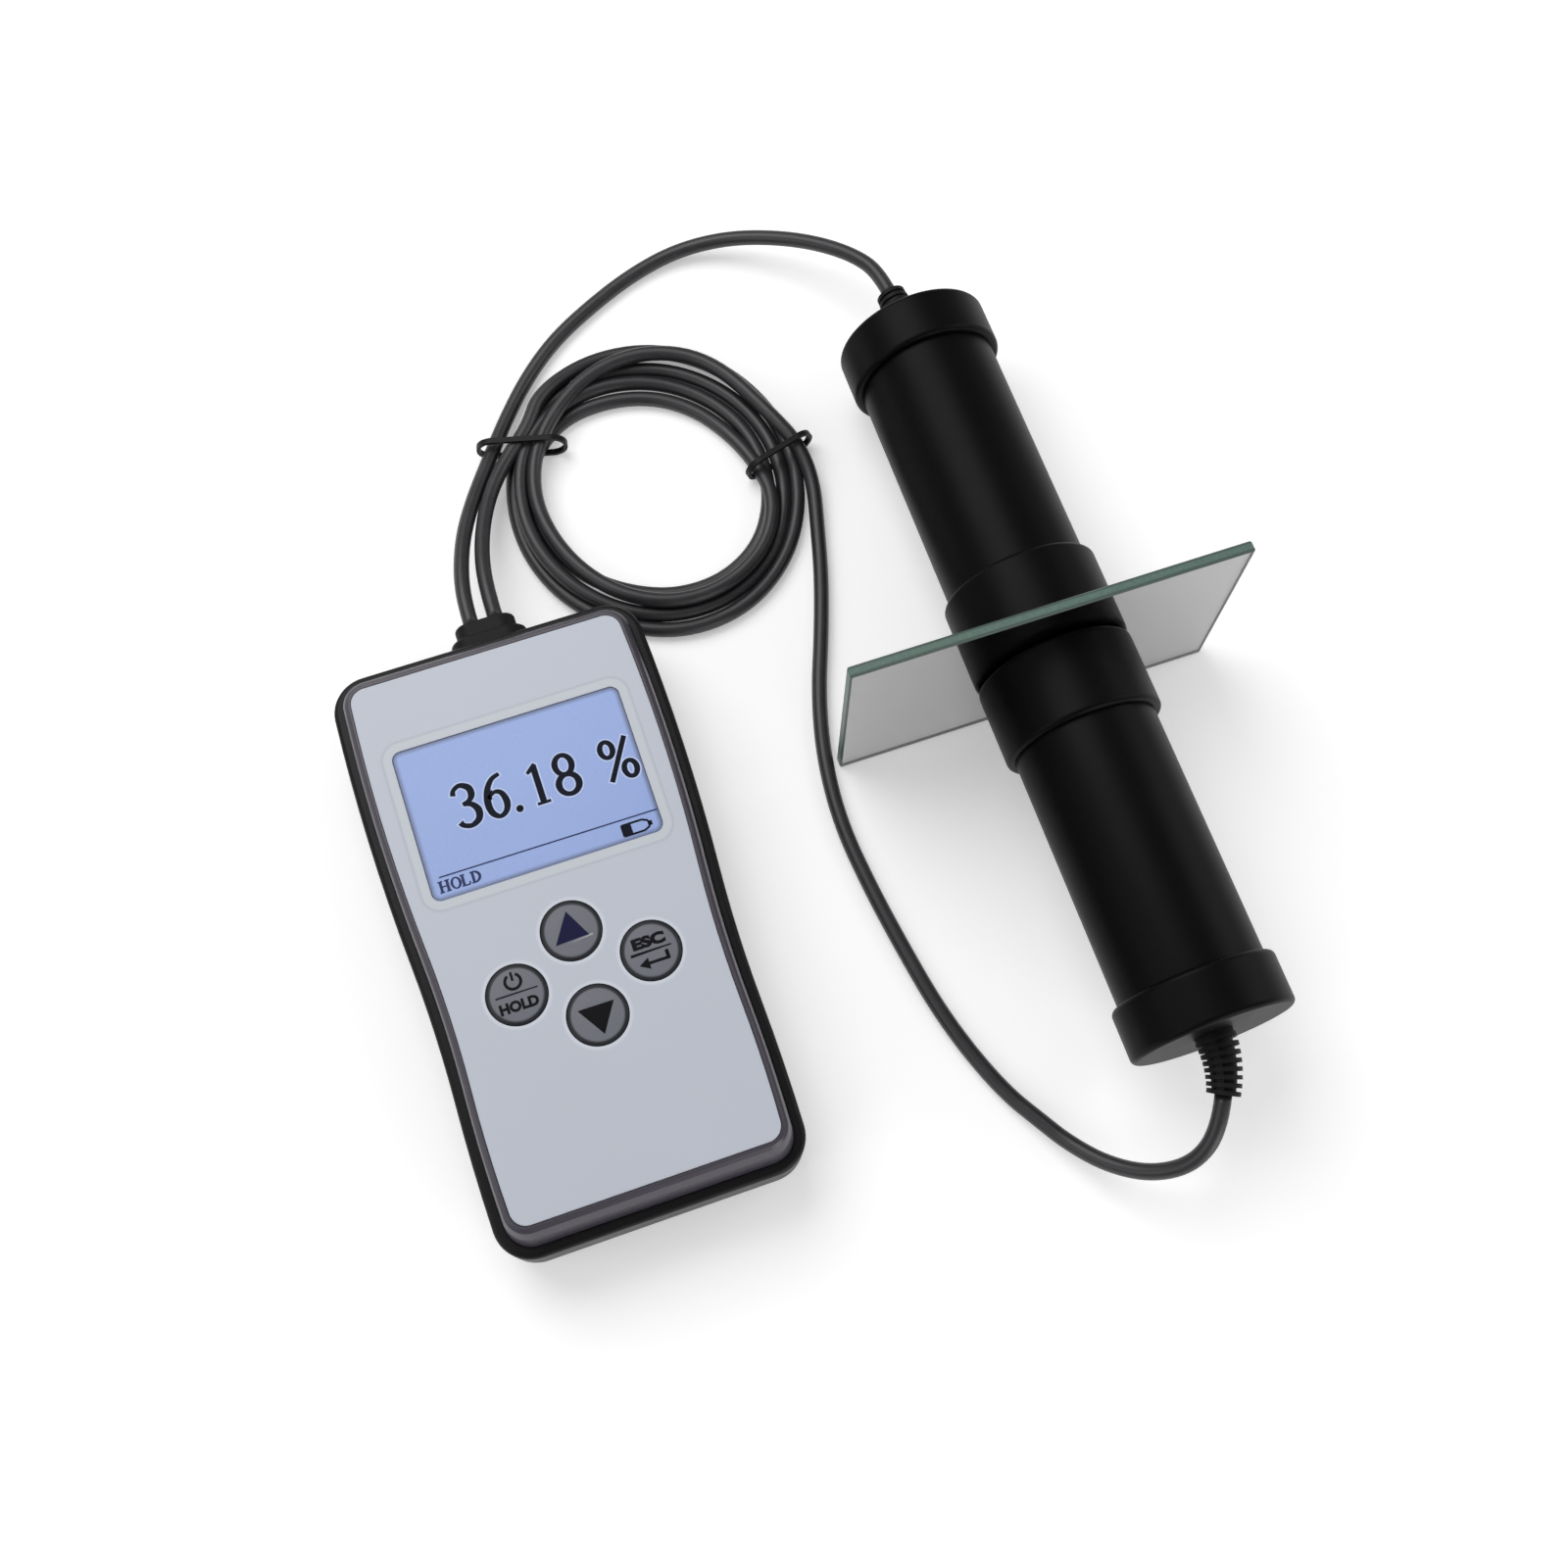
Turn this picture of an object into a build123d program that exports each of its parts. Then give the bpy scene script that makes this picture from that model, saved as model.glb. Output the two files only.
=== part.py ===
from build123d import *
import math
import os

# A hand-held light transmission meter: the meter with its display and keys, a light-source probe and a
# receiver probe on thin cords, and the glass sample that the two magnetic probes hold between them.
# The origin is the centre of the meter's flat back, +Y runs to the cord end, +Z to the display.

# Meter case
case_length = 128.0
top_half_width = 33.8
upper_bulge_half_width = 34.6
upper_bulge_y = 32.0
waist_start_half_width = 33.2
waist_start_y = 0.0
waist_end_half_width = 32.4
waist_end_y = -30.0
bottom_half_width = 31.9
corner_radius = 8.0
back_edge_inset = 3.0
back_bevel_inset = 1.2
back_bevel_z = 2.5
side_start_z = 8.0
rim_z = 20.0
rim_round = 1.2
back_wall = 2.2
shell_wall = 2.0
shell_gap = 0.15
skirt_bottom_z = 15.0
lip_z = 27.3
lip_round = 0.4
flank_inset = 0.4
flank_end_inset = 1.05
shoulder_inset = 0.95
shoulder_end_inset = 2.05
lip_inset = 1.65
lip_end_inset = 2.85
flank_z = 24.5
shoulder_z = 26.6
roof_thickness = 2.0

# Front panel and display
panel_thickness = 1.2
panel_depth = 1.0
panel_side_inset = 4.6
panel_end_inset = 5.9
panel_gap = 0.15
panel_edge_round = 0.3
screen_side_margin = 4.7
screen_end_margin = 15.9
screen_height = 33.5
screen_corner = 2.0
window_flange = 1.5
window_sink = 0.3
display_gap = 0.1
display_glass_thickness = 1.8
display_ledge = 3.0
display_frame_wall = 1.3

# Keys, two across and two along the case
key_radius = 6.15
key_gap = 0.2
key_row_gap = 23.2
key_side_offset = 14.0
key_end_offset = 9.0
key_crown = 0.2
key_stand = 0.35
key_flange = 1.0
key_flange_thickness = 1.0
key_flange_gap = 0.4
key_stem_radius = 2.5
key_travel = 0.4
mat_side_margin = 4.5
mat_end_margin = 3.5
mat_thickness = 0.8
mat_dome_radius = 4.5
mat_dome_height = 1.1

# Main board
board_side_gap = 1.55
board_end_gap = 9.65
board_thickness = 1.6
board_post_side = 3.5
board_post_end = 2.3
board_post_radius = 2.2
board_screw_radius = 1.0
board_screw_head_radius = 2.1
board_screw_head = 1.5
board_screw_tip_gap = 1.5
chip_height = 1.6
chip_gap = 0.6
controller_side = 10.0
converter_width = 6.0
converter_length = 9.0
supply_side = 5.0
chip_side_offset = 9.5
chip_end_margin = 32.0
chip_spacing = 16.0

# Case screws
case_screw_side = 5.4
case_screw_end = 9.5
case_screw_radius = 1.45
case_screw_head_radius = 2.4
case_screw_head = 2.0
case_screw_seat_z = 7.2
case_screw_reach = 6.5
screw_gap = 0.15
post_wall = 1.0
boss_radius = 2.8
fit_gap = 0.05

# Batteries, their bay and its sliding door
battery_radius = 5.25
battery_body = 43.7
battery_nub_radius = 1.9
battery_nub = 0.8
battery_gap = 0.2
battery_floor_gap = 0.65
battery_count = 4
cradle_gap = 0.15
contact_thickness = 0.4
contact_width = 7.4
spring_width = 5.0
spring_length = 3.1
spring_thickness = 0.35
spring_slot = 1.2
bay_end_gap = 8.5
bay_wall = 1.5
bay_roof = 1.5
door_bottom_z = 0.2
door_thickness = 1.9
door_gap = 0.15
door_overlap = 2.0
rail_depth = 1.1
rail_thickness = 1.0
latch_width = 8.0
latch_reach = 1.6
latch_thickness = 1.0
grip_grooves = 5
grip_pitch = 1.8
grip_width = 16.0
grip_cut = 0.9
grip_depth = 0.5

# Cords and the double boot on the meter
cord_diameter = 3.5
boot_x = 2.0
boot_z = 13.5
boot_cord_pitch = 5.5
boot_base_width = 17.0
boot_base_height = 9.0
boot_base_length = 3.0
boot_tip_width = 13.5
boot_tip_height = 7.0
boot_tip_length = 3.5
boot_round = 0.9
boot_neck_width = 12.0
boot_neck_height = 6.0
boot_flange_width = 14.5
boot_flange_height = 8.0
boot_flange_length = 1.6
boot_gap = 0.2
lead_radius = 1.4
boot_lead = 6.0
socket_width = 5.0
socket_length = 6.0
socket_height = 5.4

# Probes, measured from the face that meets the sample
probe_x = 115.5
sample_y = 20.0
probe_radius = 17.5
ring_step = 1.75
tube_wall = 1.75
ring_length = 18.0
cap_length = 11.5
tube_show = 56.0
ring_face = 4.0
cap_wall = 2.5
probe_edge_round = 1.2
probe_fit = 0.05
window_rim = 1.4
window_thickness = 1.6
window_recess = 0.4
window_ledge = 2.0
magnet_radius = 2.0
magnet_length = 2.8
magnet_count = 6
magnet_ring_inset = 5.1
filter_thickness = 1.8
sensor_holder_length = 12.0
sensor_gap = 1.4
sensor_radius = 4.6
sensor_height = 4.2
lamp_holder_length = 26.0
lamp_gap = 0.7
lamp_radius = 2.5
lamp_height = 7.0
lens_radius = 8.0
lens_edge = 1.4
lens_crown = 2.0
lens_seat = 1.2
disc_board_thickness = 1.6
disc_screw_inset = 3.5
disc_screw_radius = 1.0
disc_screw_head_radius = 1.9
disc_screw_head = 1.3
disc_screw_depth = 5.0

# Ribbed strain relief on each probe. The near one is bent to the left and down by its cord.
relief_length = 12.0
relief_base_radius = 4.3
relief_tip_radius = 3.35
relief_ribs = 8
relief_rib_share = 0.58
relief_groove = 1.0
far_relief_bend = 4.0
near_relief_bend = 30.0
near_relief_droop = 30.0
relief_neck_radius = 3.0
relief_flange_radius = 5.0
relief_flange = 1.6
relief_web = 1.5
relief_lead = 7.0

# Glass sample
glass_width = 88.0
glass_height = 50.0
glass_thickness = 2.5
glass_offset_x = -4.0
glass_offset_z = 3.5
glass_chamfer = 0.3
glass_gap = 0.1

# Coil of cord and its two ties
coil_x = 49.6
coil_y = 96.1
coil_outer_x = 34.3
coil_stretch = 3.9
coil_hole_x = 47.6
coil_hole_y = 94.6
coil_narrow_band = 8.9
coil_wide_band = 12.3
coil_hole_turn = -51.5
coil_height = 7.2
coil_flat = 2.0
tie_length = 1.3
tie_thickness = 0.8
left_tie_x = 22.8
left_tie_y = 114.8
left_tie_turn = -14.0
left_tie_width = 19.6
right_tie_x = 79.2
right_tie_y = 94.0
right_tie_turn = 16.0
right_tie_width = 16.6

# Places that follow from the sizes above
coil_outer_y = coil_outer_x + coil_stretch
coil_hole_long = coil_outer_x - coil_narrow_band
coil_hole_short = coil_outer_x - coil_wide_band
coil_round = (coil_height - coil_flat) / 2
skirt_inset = back_wall + shell_gap
roof_top_z = lip_z - panel_depth
roof_bottom_z = roof_top_z - roof_thickness
panel_top_z = roof_top_z + panel_thickness
case_end_y = case_length / 2
screen_width = 2 * (top_half_width - panel_side_inset - screen_side_margin)
screen_y = case_end_y - panel_end_inset - screen_end_margin - screen_height / 2
key_centre_y = screen_y - screen_height / 2 - key_row_gap
case_screw_x = bottom_half_width - case_screw_side
case_screw_y = case_end_y - case_screw_end
battery_pitch = 2 * battery_radius + battery_gap
battery_z = door_bottom_z + door_thickness + battery_floor_gap + battery_radius
battery_length = battery_body + battery_nub
bay_bottom_y = -case_end_y + bay_end_gap
bay_length = battery_length + 2 * contact_thickness + spring_length + 2 * fit_gap
bay_top_y = bay_bottom_y + bay_length
bay_half_width = battery_count * battery_pitch / 2 + cradle_gap
bay_top_z = battery_z + battery_radius + cradle_gap + bay_roof
board_bottom_z = bay_top_z + chip_gap + chip_height
board_top_z = board_bottom_z + board_thickness
board_width = 2 * (bottom_half_width - skirt_inset - shell_wall - board_side_gap)
board_length = 2 * (case_end_y - skirt_inset - shell_wall - board_end_gap)
chip_end_y = board_length / 2 - chip_end_margin
board_post_x = board_width / 2 - board_post_side
board_post_y = board_length / 2 - board_post_end
door_half_width = bay_half_width
door_top_y = bay_top_y + door_overlap
boot_inner_y = case_end_y - skirt_inset - shell_wall
boot_tip_y = case_end_y + boot_base_length + boot_tip_length
mat_width = 2 * (key_side_offset + mat_dome_radius + mat_side_margin)
mat_length = 2 * (key_end_offset + mat_dome_radius + mat_end_margin)
key_spots = {
    "up_key": (0.0, key_centre_y + key_end_offset),
    "down_key": (0.0, key_centre_y - key_end_offset),
    "power_key": (-key_side_offset, key_centre_y),
    "enter_key": (key_side_offset, key_centre_y),
}
tube_radius = probe_radius - ring_step
magnet_ring_radius = probe_radius - magnet_ring_inset
window_radius = magnet_ring_radius - magnet_radius - window_rim
aperture_radius = window_radius - window_ledge
sensor_bore = sensor_radius + sensor_gap
lamp_throat = lamp_radius + lamp_gap
disc_screw_ring = tube_radius - tube_wall - disc_screw_inset
probe_length = ring_length + tube_show + cap_length
ring_front = glass_thickness / 2 + glass_gap
probe_end = ring_front + probe_length
glass_low = glass_height / 2 - glass_offset_z
probe_tilt = math.degrees(math.atan((glass_low - probe_radius) / (probe_end - glass_thickness / 2)))
probe_z = (glass_low * math.cos(math.radians(probe_tilt))
           + glass_thickness / 2 * math.sin(math.radians(probe_tilt)))
probe_place = Pos(probe_x, sample_y, probe_z) * Rot(-probe_tilt, 0, 0)
near_relief_place = probe_place * Rot(0, -near_relief_droop, 0) * Rot(180, 0, 0)


def relief_station(distance, bend):
    """The place at a distance along a strain relief, which bends towards -X, facing along it."""
    radius = relief_length / math.radians(bend)
    turn = distance / radius
    side = radius * (1 - math.cos(turn))
    out = radius * math.sin(turn)
    return Pos(-side, probe_end + out, 0) * Rot(0, 0, math.degrees(turn)) * Rot(-90, 0, 0)


# Routes of the cords. The far cord runs from the meter to the receiver probe; the near cord runs from
# the meter into the coil, out of it along the table, and up to the light-source probe.
far_tip = probe_place * relief_station(relief_length, far_relief_bend)
near_tip = near_relief_place * relief_station(relief_length, near_relief_bend)
far_route = [
    (boot_x - boot_cord_pitch / 2, boot_tip_y, boot_z),
    (boot_x - boot_cord_pitch / 2, boot_tip_y + boot_lead, boot_z),
    (0.6, 85.0, 12.0),
    (3.6, 94.6, 9.6),
    (8.4, 104.0, 7.0),
    (14.4, 113.4, 4.6),
    (20.6, 122.8, 2.6),
    (28.6, 132.6, 1.8),
    (38.0, 140.8, 1.8),
    (49.0, 147.0, 1.8),
    (61.0, 152.4, 1.8),
    (73.4, 155.2, 2.6),
    (85.6, 153.2, 5.2),
    (96.2, 147.6, 8.6),
    (104.8, 140.6, 12.0),
    (111.2, 132.8, 15.0),
    tuple((far_tip * Pos(0, 0, relief_lead)).position),
    tuple(far_tip.position),
]
lead_route = [
    (boot_x + boot_cord_pitch / 2, boot_tip_y, boot_z),
    (boot_x + boot_cord_pitch / 2, boot_tip_y + boot_lead, boot_z),
    (5.6, 85.4, 11.8),
    (8.2, 95.2, 9.2),
    (12.6, 104.6, 7.0),
    (18.4, 112.0, 5.2),
    (25.6, 117.6, 4.0),
]
joint_point = (80.4, -69.4, 2.8)
run_route = [
    (80.0, 104.0, 3.8),
    (84.4, 95.0, 3.2),
    (84.6, 85.6, 2.0),
    (82.0, 74.4, 1.8),
    (78.6, 62.0, 1.8),
    (73.8, 48.6, 1.8),
    (68.4, 35.2, 1.8),
    (64.5, 20.6, 1.8),
    (62.9, 5.0, 1.8),
    (64.2, -11.0, 1.8),
    (66.4, -26.6, 1.8),
    (68.8, -40.4, 1.8),
    (72.2, -52.2, 1.8),
    (76.4, -62.6, 1.8),
    joint_point,
]
end_route = [
    joint_point,
    (84.4, -76.2, 3.8),
    (89.8, -83.2, 7.6),
    (96.6, -88.0, 12.8),
    (104.0, -88.8, 18.2),
    tuple((near_tip * Pos(0, 0, relief_lead)).position),
    tuple(near_tip.position),
]


def block(x0, x1, y0, y1, z0, z1):
    """A box between two corners."""
    return Pos((x0 + x1) / 2, (y0 + y1) / 2, (z0 + z1) / 2) * Box(x1 - x0, y1 - y0, z1 - z0)


def post(x, y, z0, z1, radius):
    """An upright cylinder."""
    return Pos(x, y, (z0 + z1) / 2) * Cylinder(radius, z1 - z0)


def bar(x, z, y0, y1, radius):
    """A cylinder along Y."""
    return Pos(x, (y0 + y1) / 2, z) * Rot(90, 0, 0) * Cylinder(radius, y1 - y0)


def turned(points):
    """A solid turned about the Y axis from (radius, height along Y) points."""
    return revolve(make_face(Polyline(*points, close=True)), Axis.Y)


def turned_upright(points):
    """A solid turned about the Z axis from (radius, height) points."""
    profile = make_face(Polyline(*[(r, 0, z) for r, z in points], close=True))
    return revolve(profile, Axis.Z)


def along_y(sketch, x, z, y0, y1):
    """A flat profile carried along Y."""
    return Pos(x, y0, z) * Rot(-90, 0, 0) * extrude(sketch, y1 - y0)


def group(solids):
    """Separate solids in one node."""
    return Compound(children=[solid.solid() for solid in solids])


def mirrored_spots(x, y):
    """The four spots (x, y) mirrored about both axes."""
    return [(x, y), (-x, y), (-x, -y), (x, -y)]


def case_outline(z, inset, end_inset):
    """The waisted outline of the case at one height, drawn in from its widest line."""
    end_y = case_end_y - end_inset
    top = (top_half_width - inset, end_y)
    bulge = (upper_bulge_half_width - inset, upper_bulge_y)
    waist_start = (waist_start_half_width - inset, waist_start_y)
    waist_end = (waist_end_half_width - inset, waist_end_y)
    bottom = (bottom_half_width - inset, -end_y)
    upper = ThreePointArc(top, bulge, waist_start)
    waist = TangentArc(waist_start, waist_end, tangent=upper % 1)
    lower = TangentArc(waist_end, bottom, tangent=waist % 1)
    right = [upper, waist, lower]
    left = [edge.mirror(Plane.YZ) for edge in right]
    ends = [Line(top, (-top[0], end_y)), Line(bottom, (-bottom[0], -end_y))]
    face = make_face(right + left + ends)
    corners = face.vertices().sort_by(lambda vertex: abs(vertex.Y))[-4:]
    return Pos(0, 0, z) * fillet(corners, corner_radius - min(inset, end_inset))


def case_prism(z0, z1, inset, end_inset):
    return extrude(case_outline(z0, inset, end_inset), z1 - z0)


def case_loft(levels):
    return loft([case_outline(*level) for level in levels], ruled=True)


def back_form():
    """The outside of the back shell as one full solid."""
    return case_loft([
        (0, back_edge_inset, back_edge_inset),
        (back_bevel_z, back_bevel_inset, back_bevel_inset),
        (side_start_z, 0, 0),
        (rim_z, 0, 0),
    ])


def boot_passage(gap):
    """The slot that the boot's neck needs in the end walls."""
    slot = SlotOverall(boot_neck_width + 2 * gap, boot_neck_height + 2 * gap)
    return along_y(slot, boot_x, boot_z, boot_inner_y - gap, case_end_y + gap)


def door_form(gap):
    """The door with its rails and latch, or with a gap all round the space cut for it."""
    low = door_bottom_z - gap
    high = door_bottom_z + door_thickness + gap
    rail_low = high - rail_thickness - 2 * gap
    half = door_half_width + gap
    plate = block(-half, half, -case_length, door_top_y + gap, low, high)
    rails = block(-half - rail_depth, half + rail_depth, -case_length, door_top_y + gap, rail_low, high)
    latch_half = latch_width / 2 + gap
    latch_low = high - latch_thickness - 2 * gap
    latch = block(-latch_half, latch_half, door_top_y, door_top_y + latch_reach + gap, latch_low, high)
    return plate + rails + latch


def bottom_case():
    """Back shell: floor, upright rim, screw posts, battery cradles and the door's rails."""
    form = back_form()
    rim = form.edges().group_by(Axis.Z)[-1]
    form = fillet(rim, rim_round)
    floor_inset = back_bevel_inset + back_wall
    hollow = case_loft([
        (back_wall, floor_inset, floor_inset),
        (side_start_z, back_wall, back_wall),
        (rim_z + 1, back_wall, back_wall),
    ])
    shell = form - hollow
    bay_outer = bay_half_width + bay_wall
    shell += block(-bay_outer, bay_outer, bay_bottom_y - bay_wall, bay_top_y + bay_wall,
                   back_wall / 2, bay_top_z)
    post_radius = case_screw_head_radius + screw_gap + post_wall
    for x, y in mirrored_spots(case_screw_x, case_screw_y):
        shell += post(x, y, back_wall / 2, skirt_bottom_z - shell_gap, post_radius)
    for x, y in mirrored_spots(case_screw_x, case_screw_y):
        shell -= post(x, y, -1, case_screw_seat_z, case_screw_head_radius + screw_gap)
        shell -= post(x, y, 0, skirt_bottom_z, case_screw_radius + screw_gap)
    shell -= block(-bay_half_width, bay_half_width, bay_bottom_y, bay_top_y, -1, battery_z)
    for i in range(battery_count):
        x = (i - (battery_count - 1) / 2) * battery_pitch
        shell -= bar(x, battery_z, bay_bottom_y, bay_top_y, battery_radius + cradle_gap)
    shell -= door_form(door_gap)
    shell -= block(-door_half_width, door_half_width, -case_length, door_top_y, -1, back_wall)
    return shell - boot_passage(boot_gap)


def top_case():
    """Front shell: skirt inside the rim, sloping flank, lip round the panel, bosses and posts."""
    form = case_loft([
        (skirt_bottom_z, skirt_inset, skirt_inset),
        (rim_z, skirt_inset, skirt_inset),
        (flank_z, skirt_inset + flank_inset, skirt_inset + flank_end_inset),
        (shoulder_z, skirt_inset + shoulder_inset, skirt_inset + shoulder_end_inset),
        (lip_z, skirt_inset + lip_inset, skirt_inset + lip_end_inset),
    ])
    form = fillet(form.edges().group_by(Axis.Z)[-1], lip_round)
    inner = skirt_inset + shell_wall
    hollow = case_loft([
        (skirt_bottom_z - 1, inner, inner),
        (rim_z, inner, inner),
        (roof_bottom_z, inner + flank_inset, inner + flank_end_inset),
    ])
    shell = form - hollow
    for x, y in mirrored_spots(case_screw_x, case_screw_y):
        shell += post(x, y, skirt_bottom_z, roof_bottom_z + fit_gap, boss_radius)
    for x, y in mirrored_spots(board_post_x, board_post_y):
        shell += post(x, y, board_top_z, roof_bottom_z + fit_gap, board_post_radius)
    screw_top = skirt_bottom_z + case_screw_reach
    for x, y in mirrored_spots(case_screw_x, case_screw_y):
        shell -= post(x, y, skirt_bottom_z - 1, screw_top + screw_gap, case_screw_radius + fit_gap)
    for x, y in mirrored_spots(board_post_x, board_post_y):
        shell -= post(x, y, board_top_z - 1, roof_bottom_z - 1, board_screw_radius + fit_gap)
    recess_side = panel_side_inset - panel_gap
    recess_end = panel_end_inset - panel_gap
    shell -= case_prism(roof_top_z, lip_z + 1, recess_side, recess_end)
    flange = window_flange + panel_gap
    shell -= block(-screen_width / 2 - flange, screen_width / 2 + flange,
                   screen_y - screen_height / 2 - flange, screen_y + screen_height / 2 + flange,
                   roof_bottom_z - 1, roof_top_z + 1)
    for x, y in key_spots.values():
        shell -= post(x, y, roof_bottom_z - 1, roof_top_z + 1, key_radius + key_gap)
    return shell - boot_passage(boot_gap)


def front_panel():
    """Grey face plate with the screen's opening and four round key holes."""
    plate = case_prism(roof_top_z, panel_top_z, panel_side_inset, panel_end_inset)
    plate = fillet(plate.edges().group_by(Axis.Z)[-1], panel_edge_round)
    opening = Pos(0, screen_y, roof_top_z - 1) * extrude(
        RectangleRounded(screen_width, screen_height, screen_corner), panel_thickness + 2)
    plate -= opening
    for x, y in key_spots.values():
        plate -= post(x, y, roof_top_z - 1, panel_top_z + 1, key_radius + key_gap)
    return plate


def lcd_window():
    """Clear screen cover: a flange under the panel and a pad that fills the panel's opening."""
    flange = Pos(0, screen_y, roof_top_z - window_flange) * extrude(
        Rectangle(screen_width + 2 * window_flange, screen_height + 2 * window_flange), window_flange)
    pad_height = panel_thickness - window_sink
    pad = Pos(0, screen_y, roof_top_z) * extrude(
        RectangleRounded(screen_width - 2 * panel_gap, screen_height - 2 * panel_gap,
                         screen_corner - panel_gap), pad_height)
    return flange + pad


def display_box(grow, z0, z1):
    half_x = screen_width / 2 + window_flange + grow
    half_y = screen_height / 2 + window_flange + grow
    return block(-half_x, half_x, screen_y - half_y, screen_y + half_y, z0, z1)


glass_top_z = roof_top_z - window_flange - display_gap
glass_bottom_z = glass_top_z - display_glass_thickness


def lcd_glass():
    """Display glass with the narrow ledge that carries its contacts."""
    front = display_box(-display_gap, glass_bottom_z + display_glass_thickness / 2, glass_top_z)
    rear = display_box(-display_gap, glass_bottom_z, glass_bottom_z + display_glass_thickness / 2)
    low_y = screen_y - screen_height / 2 - window_flange
    front -= block(-screen_width, screen_width, low_y - 1, low_y + display_ledge,
                   glass_bottom_z + display_glass_thickness / 2, glass_top_z + 1)
    return front + rear


def backlight():
    """Light guide under the display glass."""
    return display_box(-display_gap, board_top_z + fit_gap, glass_bottom_z - fit_gap)


def lcd_frame():
    """Frame that holds the display glass and the backlight on the board."""
    outer = display_box(display_frame_wall, board_top_z, roof_bottom_z - display_gap)
    inner = display_box(fit_gap, board_top_z - 1, roof_bottom_z + 1)
    return outer - inner


def main_board():
    """Circuit board with a hole at each of its four posts."""
    board = block(-board_width / 2, board_width / 2, -board_length / 2, board_length / 2,
                  board_bottom_z, board_top_z)
    for x, y in mirrored_spots(board_post_x, board_post_y):
        board -= post(x, y, board_bottom_z - 1, board_top_z + 1, board_screw_radius + fit_gap)
    return board


def board_chips():
    """Controller, converter and supply chips under the board."""
    spots = [
        (-chip_side_offset, chip_end_y, controller_side, controller_side),
        (chip_side_offset, chip_end_y, converter_width, converter_length),
        (chip_side_offset, chip_end_y + chip_spacing, supply_side, supply_side),
    ]
    chips = []
    for x, y, width, length in spots:
        chips.append(block(x - width / 2, x + width / 2, y - length / 2, y + length / 2,
                           board_bottom_z - chip_height, board_bottom_z))
    return group(chips)


def key_mat():
    """Rubber sheet on the board with a collapsing dome under each key."""
    sheet = block(-mat_width / 2, mat_width / 2, key_centre_y - mat_length / 2,
                  key_centre_y + mat_length / 2, board_top_z, board_top_z + mat_thickness)
    for x, y in mirrored_spots(board_post_x, board_post_y):
        sheet -= post(x, y, board_top_z - 1, board_top_z + mat_thickness + 1, board_post_radius + screw_gap)
    dome_base = board_top_z + mat_thickness
    for x, y in key_spots.values():
        dome = turned_upright([(0, 0), (mat_dome_radius, 0), (key_stem_radius, mat_dome_height),
                               (0, mat_dome_height)])
        sheet += Pos(x, y, dome_base) * dome
    return sheet


def key():
    """Round key: crowned cap, flange under the roof and a stem over its dome."""
    stem_z = board_top_z + mat_thickness + mat_dome_height + key_travel + fit_gap
    flange_top = roof_bottom_z - key_flange_gap
    flange_bottom = flange_top - key_flange_thickness
    crown_z = panel_top_z + key_stand
    flange_radius = key_radius + key_flange
    return turned_upright([
        (0, stem_z), (key_stem_radius, stem_z), (key_stem_radius, flange_bottom),
        (flange_radius, flange_bottom), (flange_radius, flange_top), (key_radius, flange_top),
        (key_radius, crown_z - 2 * key_crown), (key_radius - 2 * key_crown, crown_z - key_crown),
        (key_radius / 2, crown_z), (0, crown_z),
    ])


def battery_door():
    """Sliding door that carries on the back shell's shape, with finger grooves."""
    door = back_form() & door_form(0)
    groove_start = -case_end_y + back_edge_inset + 3 * grip_pitch
    for i in range(grip_grooves):
        y = groove_start + i * grip_pitch
        door -= block(-grip_width / 2, grip_width / 2, y, y + grip_cut,
                      door_bottom_z - 1, door_bottom_z + grip_depth)
    return door


def battery_spots():
    """Each battery's x and the way its nub points along Y."""
    return [((i - (battery_count - 1) / 2) * battery_pitch, 1 if i % 2 else -1)
            for i in range(battery_count)]


def batteries():
    """AAA cells side by side, each turned the other way from its neighbour."""
    cell = turned([(0, 0), (battery_radius, 0), (battery_radius, battery_body),
                   (battery_nub_radius, battery_body), (battery_nub_radius, battery_length),
                   (0, battery_length)])
    cells = []
    for x, way in battery_spots():
        nub_wall = bay_top_y if way > 0 else bay_bottom_y
        start = nub_wall - way * (contact_thickness + fit_gap + battery_length)
        turn = 0 if way > 0 else 180
        cells.append(Pos(x, start, battery_z) * Rot(0, 0, turn) * cell)
    return group(cells)


def battery_contacts():
    """Contact plates at both ends of the bay, with a rolled leaf spring on the flat end of each cell."""
    half = contact_width / 2
    pieces = []
    for x, way in battery_spots():
        for wall, side in ((bay_top_y, 1), (bay_bottom_y, -1)):
            y0, y1 = sorted((wall, wall - side * contact_thickness))
            pieces.append(block(x - half, x + half, y0, y1, battery_z - half, battery_z + half))
        flat_wall = bay_bottom_y if way > 0 else bay_top_y
        centre = flat_wall + way * (contact_thickness + spring_length / 2)
        radius = spring_length / 2
        roll = Cylinder(radius, spring_width) - Cylinder(radius - spring_thickness, spring_width)
        roll -= Pos(0, radius, 0) * Box(spring_slot, radius, spring_width)
        pieces.append(Pos(x, centre, battery_z) * Rot(0, 90, 0) * Rot(0, 0, 90) * roll)
    return group(pieces)


def screw(head_radius, head, shank_radius, shank):
    """A screw standing on its head, seat at height 0 and shank upwards."""
    return turned_upright([(0, -head), (head_radius, -head), (head_radius, 0), (shank_radius, 0),
                           (shank_radius, shank), (0, shank)])


def case_screws():
    shank = skirt_bottom_z + case_screw_reach - case_screw_seat_z
    piece = screw(case_screw_head_radius, case_screw_head, case_screw_radius, shank)
    return group([Pos(x, y, case_screw_seat_z) * piece
                  for x, y in mirrored_spots(case_screw_x, case_screw_y)])


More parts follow.
